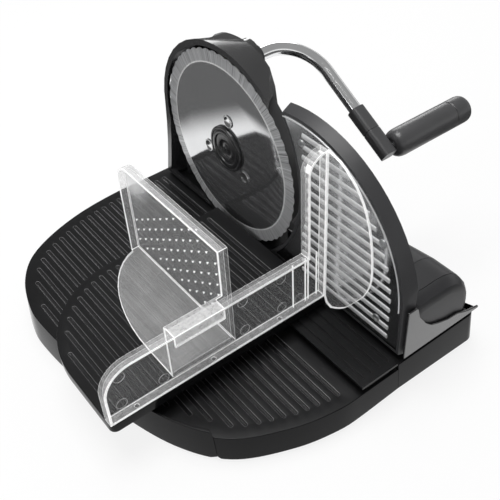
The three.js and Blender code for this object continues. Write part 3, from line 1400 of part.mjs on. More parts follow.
const spindle = at(group(
  piece('handle_spindle', handleSpindle(), 'zinc'),
  piece('handle_nut', handleNut(), 'zinc'),
), 0, 0, -CRANK.grip);

const arm = group(
  piece('crank_rod', crankRod(), 'chrome'),
  piece('crank_socket', crankSocket(), 'satin'),
  spindle,
  grip,
);
arm.rotation.x = THREE.MathUtils.degToRad(CRANK.angle);

const crank = at(group(
  piece('crank_shaft', crankShaft(), 'zinc'),
  piece('drive_pinion', drivePinion(), 'nylon'),
  piece('shaft_clip', shaftClip(), 'zinc'),
  piece('crank_collar', crankCollar(), 'satin'),
  arm,
), 0, 0, CRANK_RISE);

const carriage = group(
  piece('carriage_table', carriageTable(), 'moulded'),
  piece('carriage_runner', carriageRunner(), 'nylon'),
  ...pieces('runner_screw', runnerScrews(), 'zinc'),
  piece('carriage_glide', carriageGlide(), 'nylon'),
  piece('carriage_wall', carriageWall(), 'clear'),
  piece('thumb_shield', thumbShield(), 'clear'),
);

const pusher = group(piece('food_pusher', pusherBody(), 'clear'));

const knob = at(group(
  piece('thickness_knob', thicknessKnob(), 'satin'),
  piece('knob_spindle', knobSpindle(), 'zinc'),
  piece('spindle_collar', spindleCollar(), 'zinc'),
), 0, KNOB.y, KNOB_Z);

const stopPlate = group(
  piece('stop_plate_frame', stopPlateFrame(), 'satin'),
  piece('stop_plate_sheet', stopPlateSheet(), 'steel'),
  ...pieces('stop_plate_screw', stopPlateScrews(), 'zinc'),
  piece('stop_plate_carrier', stopPlateCarrier(), 'glossy'),
  ...pieces('carrier_key', carrierKeys(), 'nylon'),
  piece('housing_near_cap', housingNearCap(), 'satin'),
  piece('adjuster_housing', adjusterHousing(), 'satin'),
  piece('housing_rear_cover', housingRearCover(), 'satin'),
  knob,
);

const slicer = group(base, hood, blade, crank, carriage, pusher, stopPlate);

// The finished part stands on Z = 0 with its origin under the middle of its box
slicer.updateMatrixWorld(true);
const whole = new THREE.Box3().setFromObject(slicer, true);
const middle = whole.getCenter(new THREE.Vector3());
slicer.position.set(-middle.x, -middle.y, -whole.min.z);

export default slicer;
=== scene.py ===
"""Manual food slicer: its visible pieces, finishes, light and camera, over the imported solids."""

from __future__ import annotations

import json
import logging
import math
from collections.abc import Callable, Iterable
from dataclasses import dataclass
from enum import Enum
from functools import cache

import bmesh
import bpy
from mathutils import Matrix, Vector
from mathutils.geometry import delaunay_2d_cdt


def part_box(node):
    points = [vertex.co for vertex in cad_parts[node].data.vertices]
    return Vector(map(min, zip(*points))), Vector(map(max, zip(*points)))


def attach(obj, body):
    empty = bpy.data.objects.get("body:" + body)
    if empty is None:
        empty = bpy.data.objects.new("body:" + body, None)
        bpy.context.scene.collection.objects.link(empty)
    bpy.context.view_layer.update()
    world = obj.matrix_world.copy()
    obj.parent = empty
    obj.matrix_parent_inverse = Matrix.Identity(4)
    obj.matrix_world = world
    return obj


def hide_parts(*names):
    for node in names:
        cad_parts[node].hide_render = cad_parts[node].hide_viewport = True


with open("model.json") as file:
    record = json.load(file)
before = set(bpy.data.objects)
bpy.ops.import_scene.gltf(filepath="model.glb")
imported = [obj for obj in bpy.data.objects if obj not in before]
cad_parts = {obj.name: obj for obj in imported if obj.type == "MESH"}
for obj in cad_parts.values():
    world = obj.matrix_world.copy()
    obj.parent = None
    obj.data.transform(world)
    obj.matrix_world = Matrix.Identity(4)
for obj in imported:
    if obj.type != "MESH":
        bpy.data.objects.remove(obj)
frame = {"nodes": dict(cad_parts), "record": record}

LOG = logging.getLogger("slicer")
MM = 0.001
WELD = 1e-6
WELD_MM = 1e-4
FLAT_ANGLE = 0.6
LEAST_LEAN = 0.4
CURVE_STEPS = 24

# Angles in degrees over which an edge stays sharp
SHARP_GROUND = 25.0
SHARP = 32.0
SHARP_MOULDED = 35.0
SHARP_TURNED = 40.0
SHARP_SWEPT = 50.0
SHARP_ROUNDED = 60.0

Point = tuple[float, float, float]
Flat = tuple[float, float]
Colour = tuple[float, float, float]
Outline = list[Flat]
Loop = list[Point]
Grooves = list[tuple[float, Flat]]
Piece = bpy.types.Object
Material = bpy.types.Material
Face = bmesh.types.BMFace
Vert = bmesh.types.BMVert
Ring = list[Vert]


class Body(Enum):
    """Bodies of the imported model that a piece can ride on."""

    BASE = "base"
    BLADE = "blade"
    CRANK = "crank"
    GRIP = "grip"
    CARRIAGE = "carriage"
    PUSHER = "pusher"
    STOP_PLATE = "stop_plate"
    KNOB = "knob"


@dataclass(frozen=True)
class Datum:
    """Where the middle of the blade's front lies in the shared frame, in metres."""

    place: Vector

    @classmethod
    def from_blade(cls) -> Datum:
        """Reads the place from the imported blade."""
        low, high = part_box("blade")
        return cls(Vector((low.x, (low.y + high.y) / 2, (low.z + high.z) / 2)))

    def matrix(self) -> Matrix:
        """Turns millimetres in the blade's frame into metres in the shared one."""
        return Matrix.Translation(self.place) @ Matrix.Scale(MM, 4)


DATUM = Datum.from_blade()


def arc(centre: Flat, radius: float, start: float, end: float, steps: int) -> Outline:
    """Points along a circle.

    Args:
        centre: middle of the circle.
        radius: its radius.
        start: first angle in degrees.
        end: last angle in degrees.
        steps: number of chords.

    Returns:
        The points, from start to end.
    """
    turns = [math.radians(start + (end - start) * i / steps) for i in range(steps + 1)]
    return [(centre[0] + radius * math.cos(t), centre[1] + radius * math.sin(t)) for t in turns]


def spread(count: int, start: float, pitch: float) -> list[float]:
    """Evenly spaced values from the start, a pitch apart."""
    return [start + i * pitch for i in range(count)]


def box_outline(left: float, right: float, near: float, far: float) -> Outline:
    """The anticlockwise outline of a box."""
    return [(left, near), (right, near), (right, far), (left, far)]


def smooth_curve(points: Outline, steps: int) -> Outline:
    """A smooth curve through points, at even distances.

    Args:
        points: the points that it passes.
        steps: number of steps along it.

    Returns:
        Its points, from the first to the last.
    """
    curve = []
    last = len(points) - 1
    for i in range(last):
        ends = [Vector(points[min(max(i + k, 0), last)]) for k in (-1, 0, 1, 2)]
        before, here, there, after = ends
        leave, arrive = (there - before) / 2, (after - here) / 2
        for k in range(CURVE_STEPS):
            t = k / CURVE_STEPS
            bend = (2 * here - 2 * there + leave + arrive) * t ** 3
            curve.append(bend + (3 * there - 3 * here - 2 * leave - arrive) * t ** 2 + leave * t + here)
    curve.append(Vector(points[-1]))
    run = [0.0]
    for first, second in zip(curve, curve[1:]):
        run.append(run[-1] + (second - first).length)
    even, k = [], 0
    for i in range(steps + 1):
        goal = run[-1] * i / steps
        while k < len(run) - 2 and run[k + 1] < goal:
            k += 1
        share = (goal - run[k]) / max(run[k + 1] - run[k], WELD)
        point = curve[k].lerp(curve[k + 1], share)
        even.append((point.x, point.y))
    return even


def span_at(outline: Outline, place: float) -> Flat | None:
    """Lowest and highest second coordinate of an outline at one first coordinate.

    Args:
        outline: the outline.
        place: the first coordinate.

    Returns:
        The two values, or None beside the outline.
    """
    hits = []
    for (u0, v0), (u1, v1) in zip(outline, outline[1:] + outline[:1]):
        if (u0 - place) * (u1 - place) < 0:
            hits.append(v0 + (v1 - v0) * (place - u0) / (u1 - u0))
    return (min(hits), max(hits)) if len(hits) > 1 else None


def encloses(outline: Outline, point: Flat) -> bool:
    """Whether a point lies inside an outline.

    Args:
        outline: the outline.
        point: the point.

    Returns:
        True inside.
    """
    within = False
    for (u0, v0), (u1, v1) in zip(outline, outline[1:] + outline[:1]):
        if (v0 > point[1]) != (v1 > point[1]) and point[0] < (u1 - u0) * (point[1] - v0) / (v1 - v0) + u0:
            within = not within
    return within


class Form:
    """A mesh under construction, drawn in millimetres in the blade's frame."""

    def __init__(self) -> None:
        """Starts empty, with the first finish in hand."""
        self.mesh = bmesh.new()
        self.finish = 0

    def face(self, corners: Iterable[Vert]) -> None:
        """Adds a face in the finish in hand."""
        self.mesh.faces.new(list(corners)).material_index = self.finish

    def pierced(self, outer: Ring, holes: list[Ring]) -> None:
        """Fills a level outline, leaving holes open.

        Args:
            outer: the ring of the outline.
            holes: the rings of the holes.
        """
        rings = [outer, *holes]
        verts = [vert for ring in rings for vert in ring]
        edges, first = [], 0
        for ring in rings:
            edges += [(first + i, first + (i + 1) % len(ring)) for i in range(len(ring))]
            first += len(ring)
        flat = [vert.co.xy for vert in verts]
        spots, _, faces, origins, _, _ = delaunay_2d_cdt(flat, edges, [], 0, 1e-5)
        crossed = [tuple(round(c, 2) for c in spots[i]) for i, origin in enumerate(origins) if not origin]
        if crossed:
            raise ValueError(f"the outline crosses itself at {crossed[:6]}")
        outlines = [[(vert.co.x, vert.co.y) for vert in ring] for ring in rings]
        boxes = [tuple((min(run), max(run)) for run in zip(*hole)) for hole in outlines[1:]]
        for face in faces:
            corners = [verts[origins[i][0]] for i in face]
            u = sum(corner.co.x for corner in corners) / len(corners)
            v = sum(corner.co.y for corner in corners) / len(corners)
            if not encloses(outlines[0], (u, v)):
                continue
            near = [
                hole for hole, ((left, right), (low, high)) in zip(outlines[1:], boxes)
                if low < v < high and left < u < right
            ]
            if not any(encloses(hole, (u, v)) for hole in near):
                self.face(corners)

    def ring(self, points: Iterable[Point]) -> Ring:
        """Adds loose points and returns their vertices."""
        return [self.mesh.verts.new(point) for point in points]

    def skin(self, first: Ring, second: Ring) -> None:
        """Joins two rings of the same count with quads.

        Args:
            first: one ring.
            second: the other ring.
        """
        count = len(first)
        for i in range(count):
            after = (i + 1) % count
            self.face((first[i], first[after], second[after], second[i]))

    def loft(self, rings: list[Loop], caps: bool = True) -> Form:
        """Skins a row of rings.

        Args:
            rings: the rings, with the same number of points.
            caps: whether the two ends are closed with flat faces.

        Returns:
            The form itself.
        """
        rows = [self.ring(ring) for ring in rings]
        for first, second in zip(rows, rows[1:]):
            self.skin(first, second)
        if caps:
            self.face(rows[0])
            self.face(rows[-1])
        return self

    def turn(self, profile: Outline, steps: int, centre: Flat = (0.0, 0.0), ring: bool = False) -> Form:
        """Turns a profile about an axis along X.

        Args:
            profile: places along X with their radii.
            steps: facets round the axis.
            centre: the axis' place in Y and Z.
            ring: whether the profile closes on itself.

        Returns:
            The form itself.
        """
        rows = []
        for x, radius in profile:
            around = arc(centre, max(radius, WELD), 0, 360 * (steps - 1) / steps, steps - 1)
            rows.append(self.ring((x, y, z) for y, z in around))
        for first, second in zip(rows, rows[1:] + rows[:1] if ring else rows[1:]):
            self.skin(first, second)
        if not ring:
            for row, (_, radius) in ((rows[0], profile[0]), (rows[-1], profile[-1])):
                if radius > 0:
                    self.face(row)
        return self

    def slab(self, outline: Outline, stations: Outline) -> Form:
        """Pushes an outline upwards, drawn in at each station.

        Args:
            outline: the flat outline, anticlockwise.
            stations: heights, each with how far the outline is drawn in.

        Returns:
            The form itself.
        """
        rings = [[(*point, height) for point in drawn_in(outline, draw)] for height, draw in stations]
        return self.loft(rings)

    def edges(self, points: Iterable[Point]) -> Form:
        """Joins points in a row with edges.

        Args:
            points: the points.

        Returns:
            The form itself.
        """
        row = self.ring(points)
        for first, second in zip(row, row[1:]):
            self.mesh.edges.new((first, second))
        return self

    def moved(self, matrix: Matrix) -> Form:
        """Moves all that has been drawn so far."""
        bmesh.ops.transform(self.mesh, matrix=matrix, verts=self.mesh.verts)
        return self

    def piece(self, name: str) -> Piece:
        """Ends the drawing.

        Args:
            name: name of the new object.

        Returns:
            An object at the origin with its place in its mesh, in metres.
        """
        bmesh.ops.remove_doubles(self.mesh, verts=self.mesh.verts, dist=WELD_MM)
        bmesh.ops.dissolve_degenerate(self.mesh, dist=WELD_MM, edges=self.mesh.edges)
        bmesh.ops.recalc_face_normals(self.mesh, faces=self.mesh.faces)
        bmesh.ops.transform(self.mesh, matrix=DATUM.matrix(), verts=self.mesh.verts)
        data = bpy.data.meshes.new(name)
        self.mesh.to_mesh(data)
        self.mesh.free()
        return linked(name, data)


def drawn_in(outline: Outline, distance: float) -> Outline:
    """Moves an anticlockwise outline inwards, corner by corner.

    Args:
        outline: the outline.
        distance: how far it moves.

    Returns:
        The moved outline, with as many points.
    """
    if distance == 0:
        return list(outline)
    moved = []
    for i, point in enumerate(outline):
        here = Vector(point)
        before = (here - Vector(outline[i - 1])).normalized()
        after = (Vector(outline[(i + 1) % len(outline)]) - here).normalized()
        inwards = Vector((-before.y - after.y, before.x + after.x))
        inwards.normalize()
        lean = max(inwards.dot(Vector((-after.y, after.x))), LEAST_LEAN)
        corner = here + inwards * (distance / lean)
        moved.append((corner.x, corner.y))
    return moved


def drawn_in_open(line: Outline, distance: float) -> Outline:
    """Moves the inner points of an open line to its left, leaving its ends.

    Args:
        line: the line, run anticlockwise.
        distance: how far it moves.

    Returns:
        The moved line.
    """
    moved = [line[0]]
    for before, here, after in zip(line, line[1:], line[2:]):
        way = (Vector(after) - Vector(before)).normalized()
        moved.append((here[0] - way.y * distance, here[1] + way.x * distance))
    return [*moved, line[-1]]


def rounded_corners(outline: Outline, radius: float, steps: int) -> Outline:
    """Rounds the corners of an anticlockwise outline.

    Args:
        outline: the outline.
        radius: distance from each corner at which the rounding starts.
        steps: chords of each corner.

    Returns:
        The rounded outline.
    """
    rounded = []
    for i, corner in enumerate(outline):
        here = Vector(corner)
        start = here + (Vector(outline[i - 1]) - here).normalized() * radius
        end = here + (Vector(outline[(i + 1) % len(outline)]) - here).normalized() * radius
        for k in range(steps + 1):
            t = k / steps
            point = start * (1 - t) ** 2 + here * (2 * t * (1 - t)) + end * t ** 2
            rounded.append((point.x, point.y))
    return rounded


def linked(name: str, data: bpy.types.Mesh) -> Piece:
    """Puts a mesh in the scene.

    Args:
        name: name of the object.
        data: its mesh.

    Returns:
        The object.
    """
    data.name = name
    piece = bpy.data.objects.new(name, data)
    bpy.context.scene.collection.objects.link(piece)
    return piece


def settled(piece: Piece) -> Piece:
    """Applies a piece's modifiers to its mesh and takes them off.

    Args:
        piece: the object.

    Returns:
        The same object with a plain mesh.
    """
    graph = bpy.context.evaluated_depsgraph_get()
    graph.update()
    data = bpy.data.meshes.new_from_object(piece.evaluated_get(graph))
    data.name = piece.name
    piece.modifiers.clear()
    piece.data = data
    return piece


def smoothed(piece: Piece, sharp: float = SHARP) -> Piece:
    """Shades a piece smoothly between its sharp edges.

    Args:
        piece: the object.
        sharp: angle in degrees over which an edge stays sharp.

    Returns:
        The same object.
    """
    piece.data.shade_smooth()
    piece.data.set_sharp_from_angle(angle=math.radians(sharp))
    return piece


@dataclass(frozen=True)
class Rounding:
    """Rounded edges of a moulded or turned piece."""

    width: float = 0.6
    segments: int = 2
    angle: float = 34.0
    finish: int = -1

    def apply(self, piece: Piece) -> Piece:
        """Rounds the edges over the angle and evens the shading.

        Args:
            piece: the object.

        Returns:
            The same object with a plain mesh.
        """
        edge = piece.modifiers.new("edge", "BEVEL")
        edge.width = self.width * MM
        edge.segments = self.segments
        edge.limit_method = "ANGLE"
        edge.angle_limit = math.radians(self.angle)
        edge.use_clamp_overlap = True
        edge.material = self.finish
        edge.miter_outer = "MITER_ARC"
        settled(piece)
        smoothed(piece, SHARP_ROUNDED)
        even = piece.modifiers.new("even", "WEIGHTED_NORMAL")
        even.weight = 60
        even.keep_sharp = True
        return settled(piece)


@dataclass(frozen=True)
class Shave:
    """A plane across X past which a solid is taken off, so that what stood there is drawn anew."""

    place: float
    way: int

    def apply(self, mesh: bmesh.types.BMesh) -> None:
        """Cuts a mesh and closes it.

        Args:
            mesh: the mesh, in the shared frame.
        """
        spot, way = (DATUM.place.x + self.place * MM, 0.0, 0.0), (self.way, 0, 0)
        bmesh.ops.bisect_plane(
            mesh, geom=[*mesh.verts, *mesh.edges, *mesh.faces], dist=WELD, plane_co=spot, plane_no=way,
            clear_outer=True,
        )
        rim = [edge for edge in mesh.edges if edge.is_boundary]
        bmesh.ops.triangle_fill(mesh, edges=rim, use_beauty=True, normal=way)
        bmesh.ops.recalc_face_normals(mesh, faces=mesh.faces)


def strip_width(face: Face) -> float:
    """Width in millimetres of a face seen as a strip."""
    return 2 * face.calc_area() / face.calc_perimeter() / MM


def cast_copy(
    node: str, name: str, finishes: tuple[Finish, ...], rounding: Rounding,
    shave: Shave | None = None, choose: Callable[[Face], int] | None = None,
) -> Piece:
    """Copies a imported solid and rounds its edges.

    Args:
        node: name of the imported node.
        name: name of the new piece.
        finishes: its finishes.
        rounding: how its edges are rounded.
        shave: what is taken off first.
        choose: gives the number of a face's finish.

    Returns:
        The new object.
    """
    mesh = bmesh.new()
    mesh.from_mesh(frame["nodes"][node].data)
    bmesh.ops.remove_doubles(mesh, verts=mesh.verts, dist=WELD)
    if shave is not None:
        shave.apply(mesh)
    bmesh.ops.dissolve_limit(mesh, angle_limit=math.radians(FLAT_ANGLE), verts=mesh.verts, edges=mesh.edges)
    for face in mesh.faces:
        face.material_index = choose(face) if choose else 0
    data = bpy.data.meshes.new(name)
    mesh.to_mesh(data)
    mesh.free()
    for finish in finishes:
        data.materials.append(mixed(finish))
    return rounding.apply(linked(name, data))


@dataclass(frozen=True)
class Groove:
    """A moulded groove with round ends: its width, and how far each level is widened and sunk."""

    width: float = 3.3
    levels: tuple[Flat, ...] = (
        (0.42, 0.0), (0.2, 0.06), (0.04, 0.26), (-0.14, 0.85), (-0.45, 1.18), (-1.0, 1.3),
    )
    end_steps: int = 5
    # Levels nearest the deck that take the lip finish, painted lighter as a highlight along the lips.
    lips: int = 2

    def ring(self, place: float, span: Flat, widen: float) -> Outline:
        """The groove's outline at one level.

        Args:
            place: the groove's place along X.
            span: where it starts and ends along Y.
            widen: how far it is widened.

        Returns:
            The outline.
        """
        half = self.width / 2
        near, far = (place, span[0] + half), (place, span[1] - half)
        near_end = arc(near, half + widen, 180, 360, self.end_steps)
        return [*near_end, *arc(far, half + widen, 0, 180, self.end_steps)]

    def sink(self, form: Form, place: float, span: Flat, top: float) -> Ring:
        """Sinks the groove into a deck.

        Args:
            form: the mesh.
            place: the groove's place along X.
            span: where it starts and ends along Y.
            top: height of the deck.

        Returns:
            The ring at the deck's level.
        """
        rows = []
        for widen, depth in self.levels:
            rows.append(form.ring((x, y, top - depth) for x, y in self.ring(place, span, widen)))
        for level, (first, second) in enumerate(zip(rows, rows[1:])):
            # The lips take the lighter finish, a painted highlight; the rest of the groove takes the groove
            # finish.
            form.finish = (Surface.LIP_HIGHLIGHT if level < self.lips else Surface.GROOVE).value
            form.skin(first, second)
        form.face(rows[-1])
        return rows[0]


@dataclass(frozen=True)
class GroovedDeck:
    """A flat deck with grooves and walls all round."""

    groove: Groove = Groove()
    lip: tuple[Flat, ...] = ((0.6, 0.0), (0.28, 0.07), (0.08, 0.26), (0.0, 0.6))

    def mould(
        self, form: Form, outline: Outline, top: float, levels: list[Loop],
        grooves: Grooves,
    ) -> None:
        """Draws the deck, its grooves and its walls as one closed mesh.

        Args:
            form: the mesh.
            outline: the deck's outline.
            top: height of the deck.
            levels: rings of the walls below the lip, down to the floor.
            grooves: places of the grooves along X, each with where it starts and ends.
        """
        form.finish = Surface.WALL.value
        rows = []
        for draw, depth in self.lip:
            rows.append(form.ring((x, y, top - depth) for x, y in drawn_in(outline, draw)))
        rows += [form.ring(level) for level in levels]
        for first, second in zip(rows, rows[1:]):
            form.skin(first, second)
        form.pierced(rows[-1], [])
        rings = [self.groove.sink(form, place, span, top) for place, span in grooves]
        form.finish = Surface.DECK.value
        form.pierced(rows[0], rings)


class Surface(Enum):
    """Which finish a face of a grooved moulding gets."""

    DECK = 0
    WALL = 1
    GROOVE = 2
    # The groove's rounded lips, painted lighter than the deck as a highlight.
    LIP_HIGHLIGHT = 3


class Wire:
    """A socket of a node tree, whose sums are written as Python expressions."""

    def __init__(self, kit: Kit, socket: bpy.types.NodeSocket) -> None:
        """Keeps the socket with its tree."""
        self.kit = kit
        self.socket = socket

    def maths(self, operation: str, *others: Wire | float) -> Wire:
        """Adds a Math node, with the others as its second and third values."""
        return self.kit.wire("ShaderNodeMath", dict(enumerate((self, *others))), operation=operation)

    def __add__(self, other: Wire | float) -> Wire:
        """Sum."""
        return self.maths("ADD", other)

    def __radd__(self, other: float) -> Wire:
        """Sum with a number in front."""
        return self.maths("ADD", other)

    def __sub__(self, other: Wire | float) -> Wire:
        """Difference."""
        return self.maths("SUBTRACT", other)

    def __rsub__(self, other: float) -> Wire:
        """Difference from a number in front."""
        return self.maths("MULTIPLY_ADD", -1.0, other)

    def __mul__(self, other: Wire | float) -> Wire:
        """Product."""
        return self.maths("MULTIPLY", other)

    def __rmul__(self, other: float) -> Wire:
        """Product with a number in front."""
        return self.maths("MULTIPLY", other)

    def __truediv__(self, other: Wire | float) -> Wire:
        """Quotient."""
        return self.maths("DIVIDE", other)

    def __pow__(self, other: Wire | float) -> Wire:
        """Power."""
        return self.maths("POWER", other)

    def between(self, low: float, high: float) -> Wire:
        """Rises smoothly from 0 at low to 1 at high."""
        ends = {0: self, 1: low, 2: high, 3: 0.0, 4: 1.0}
        return self.kit.wire("ShaderNodeMapRange", ends, interpolation_type="SMOOTHSTEP")


def socket_name(key: str) -> str:
    """The name of an input, from a keyword with _ for a space."""
    return key.replace("_", " ").title().replace("Ior", "IOR")


class Kit:
    """A node tree that is wired from Python."""

    def __init__(self, tree: bpy.types.NodeTree) -> None:
        """Keeps the tree."""
        self.tree = tree

    def fill(self, node: bpy.types.Node, values: dict[str | int, Wire | float | tuple]) -> bpy.types.Node:
        """Sets inputs of a node.

        Args:
            node: the node.
            values: values or wires of its inputs, by name or number.

        Returns:
            The node.
        """
        for key, value in values.items():
            if isinstance(value, Wire):
                self.tree.links.new(value.socket, node.inputs[key])
            else:
                node.inputs[key].default_value = value
        return node

    def node(self, kind: str, values: dict | None = None, **settings: str) -> bpy.types.Node:
        """Adds a node.

        Args:
            kind: the node's type.
            values: values or wires of its inputs, by name or number.
            settings: its properties, set first.

        Returns:
            The node.
        """
        made = self.tree.nodes.new(kind)
        for key, value in settings.items():
            setattr(made, key, value)
        return self.fill(made, values or {})

    def wire(self, kind: str, values: dict | None = None, output: int | str = 0, **settings: str) -> Wire:
        """Adds a node and returns one of its outputs, named or numbered."""
        return Wire(self, self.node(kind, values, **settings).outputs[output])

    def vector(self, operation: str, *values: Wire | tuple) -> Wire:
        """Adds a Vector Math node, whose result is a number for a length."""
        output = "Value" if operation == "LENGTH" else "Vector"
        return self.wire("ShaderNodeVectorMath", dict(enumerate(values)), output, operation=operation)

    def joined(self, *values: Wire | float) -> Wire:
        """A vector from its X, Y and Z, where those left out are 0."""
        return self.wire("ShaderNodeCombineXYZ", dict(enumerate(values)))

    def split(self, vector: Wire) -> list[Wire]:
        """The X, Y and Z of a vector."""
        return [Wire(self, part) for part in self.node("ShaderNodeSeparateXYZ", {0: vector}).outputs]


class Paint(Kit):
    """A material under construction, on Object coordinates."""

    def __init__(self, name: str) -> None:
        """Starts a material with a Principled shader.

        Args:
            name: name of the material.
        """
        self.material = bpy.data.materials.new(name)
        self.material.use_nodes = True
        super().__init__(self.material.node_tree)
        self.shader = self.tree.nodes["Principled BSDF"]
        self.place = self.wire("ShaderNodeTexCoord", output="Object")

    def put(self, **sockets: Wire | float | tuple) -> Material:
        """Sets inputs of the shader by keywords and returns the material."""
        self.fill(self.shader, {socket_name(key): value for key, value in sockets.items()})
        return self.material

    def noise(self, size: float, detail: float = 2.0, place: Wire | None = None) -> Wire:
        """Noise whose lumps are about size millimetres across, from 0 to 1."""
        values = {"Vector": place or self.place, "Scale": 1 / (size * MM), "Detail": detail}
        return self.wire("ShaderNodeTexNoise", values)

    def stretched(self, scale: Point) -> Wire:
        """Object coordinates scaled along each axis."""
        return self.wire("ShaderNodeMapping", {"Vector": self.place, "Scale": scale})

    def centred(self, centre: Vector) -> Wire:
        """Object coordinates measured from a point."""
        return self.vector("SUBTRACT", self.place, tuple(centre))

    def blend(self, share: Wire | float, first: Colour | Wire, second: Colour | Wire) -> Wire:
        """Mixes two colours: a share of 0 gives the first, 1 the second."""
        ends = [c if isinstance(c, Wire) else (*c, 1.0) for c in (first, second)]
        return self.wire("ShaderNodeMix", {0: share, 6: ends[0], 7: ends[1]}, 2, data_type="RGBA")

    def bump(self, height: Wire, depth: float, strength: float) -> Wire:
        """A normal from a height between 0 and 1, with depth in millimetres."""
        return self.wire("ShaderNodeBump", {"Height": height, "Distance": depth * MM, "Strength": strength})


def shaded(colour: Colour, share: float) -> Colour:
    """A colour times a share."""
    return colour[0] * share, colour[1] * share, colour[2] * share


@dataclass(frozen=True)
class Moulding:
    """Moulded plastic: its colour, gloss, and the grain of the mould's surface."""

    name: str
    colour: Colour
    roughness: float
    specular: float = 0.5
    grain: float = 0.6
    grain_depth: float = 0.02
    coat: float = 0.0
    coat_roughness: float = 0.06
    spread: float = 0.18
    tone_size: float = 38.0
    scuff_size: float = 0.9
    scuff_stretch: Point = (0.12, 1.0, 0.4)

    def mix(self) -> Material:
        """Builds the material."""
        paint = Paint(self.name)
        tone = paint.noise(self.tone_size, 3.0)
        grain = paint.noise(self.grain, 2.0)
        scuff = paint.noise(self.scuff_size, 4.0, paint.stretched(self.scuff_stretch)).between(0.58, 0.8)
        dark, light = (shaded(self.colour, 1 + side * self.spread) for side in (-1, 1))
        return paint.put(
            base_color=paint.blend(tone, dark, light),
            roughness=self.roughness + (tone - 0.5) * 0.08 + scuff * 0.05,
            specular_ior_level=self.specular,
            coat_weight=self.coat,
            coat_roughness=self.coat_roughness,
            normal=paint.bump(grain, self.grain_depth, 0.6),
        )


@dataclass(frozen=True)
class ClearPlastic:
    """Clear moulded plastic: how milky it is face on and at a glance, with faint flow lines, and a painted
    glow standing in for the light its edges catch.
    """

    name: str
    milk: float
    glance: float
    colour: Colour = (0.88, 0.885, 0.89)
    lines: Point = (1.0, 1.0, 1.0)
    line_size: float = 3.0
    line_share: float = 0.5
    cloud: Point | None = None
    cloud_reach: Flat = (40.0, 8.0)
    cloud_share: float = 0.55
    flow_size: float = 24.0
    dust_size: float = 0.9
    dust_share: float = 0.04
    # Strength of a white emission, a painted glow standing in for light caught by the edges.
    glow: float = 0.0

    def mix(self) -> Material:
        """Builds the material."""
        paint = Paint(self.name)
        flow = paint.noise(self.flow_size, 3.0)
        lines = paint.noise(self.line_size, 2.0, paint.stretched(self.lines)).between(0.3, 0.7)
        dust = paint.noise(self.dust_size).between(0.7, 0.8)
        facing = paint.wire("ShaderNodeLayerWeight", {"Blend": 0.5}, "Facing")
        milk = (0.6 + flow * 0.8) * (1.0 - self.line_share + lines * self.line_share) * self.milk
        alpha = milk + facing ** 3.0 * self.glance + dust * self.dust_share
        if self.cloud is not None:
            distance = paint.vector("LENGTH", paint.centred(DATUM.matrix() @ Vector(self.cloud)))
            far, near = (reach * MM for reach in self.cloud_reach)
            alpha = alpha + (1.0 - distance.between(near, far)) * self.cloud_share
        return paint.put(
            base_color=paint.blend(flow, self.colour, shaded(self.colour, 0.94)),
            roughness=0.05 + flow * 0.05,
            specular_ior_level=0.8,
            alpha=alpha.maths("MINIMUM", 1.0),
            # The emission is painted light: a glow on the edge finish, off elsewhere.
            emission_color=(1.0, 1.0, 1.0, 1.0),
            emission_strength=self.glow,
        )


@dataclass(frozen=True)
class Plating:
    """Bright metal: plated, rolled or ground, with its lines along one way."""

    name: str
    colour: Colour
    roughness: float
    lines: Point = (0.1, 1.0, 1.0)
    line_size: float = 0.25
    line_depth: float = 0.004
    metal: float = 1.0
    tone_size: float = 24.0

    def mix(self) -> Material:
        """Builds the material."""
        paint = Paint(self.name)
        lines = paint.noise(self.line_size, 3.0, paint.stretched(self.lines))
        tone = paint.noise(self.tone_size)
        return paint.put(
            base_color=paint.blend(tone, self.colour, shaded(self.colour, 0.86)),
            metallic=self.metal,
            roughness=self.roughness + (lines - 0.5) * 0.1 + (tone - 0.5) * 0.05,
            normal=paint.bump(lines, self.line_depth, 0.5),
        )


@dataclass(frozen=True)
class BladeSteel:
    """The blade's steel: a polished disc and a radially ground band at the edge, with a white ring painted
    where they meet as a highlight.
    """

    name: str = "blade_steel"
    disc: Colour = (0.8, 0.805, 0.815)
    band: Colour = (0.56, 0.565, 0.575)
    disc_roughness: float = 0.08
    band_roughness: float = 0.3
    band_start: float = 82.5
    # Width of the white ring painted at the band's start as a highlight.
    line: float = 1.1
    metal: float = 0.97
    scatter: float = 0.55
    band_blur: float = 0.2
    rays: float = 95.0
    rings: float = 3800.0
    smear_size: float = 30.0

    def mix(self) -> Material:
        """Builds the material about the blade's axis."""
        paint = Paint(self.name)
        flat = paint.vector("MULTIPLY", paint.centred(DATUM.place), (0, 1, 1))
        radius = paint.vector("LENGTH", flat)
        start, half = self.band_start * MM, self.line * MM
        ground = radius.between(start - self.band_blur * MM, start + self.band_blur * MM)
        ray = {"Vector": paint.vector("NORMALIZE", flat), "Scale": self.rays, "Detail": 5.0}
        rays = paint.wire("ShaderNodeTexNoise", ray)
        ring = {"W": radius, "Scale": self.rings, "Detail": 2.0}
        rings = paint.wire("ShaderNodeTexNoise", ring, noise_dimensions="1D")
        smear = paint.noise(self.smear_size, 3.0)
        lit = paint.blend(rays.between(0.35, 0.65), shaded(self.band, 0.5), self.band)
        shade = paint.blend(smear, shaded(self.disc, 0.9), self.disc)
        disc_gloss = self.disc_roughness + (rings - 0.5) * 0.06 + (smear - 0.5) * 0.03
        band_gloss = self.band_roughness + (rays - 0.5) * 0.2
        # Painted highlight: a white, less metallic ring at the band's start.
        line = radius.between(start - half, start) * (1.0 - radius.between(start, start + half))
        return paint.put(
            base_color=paint.blend(line, paint.blend(ground, shade, lit), (1.0, 1.0, 1.0)),
            metallic=self.metal - ground.maths("MAXIMUM", line) * self.scatter,
            roughness=disc_gloss + ground * (band_gloss - disc_gloss),
            normal=paint.bump(rays * ground, 0.05, 0.5),
        )


Finish = Moulding | ClearPlastic | Plating | BladeSteel


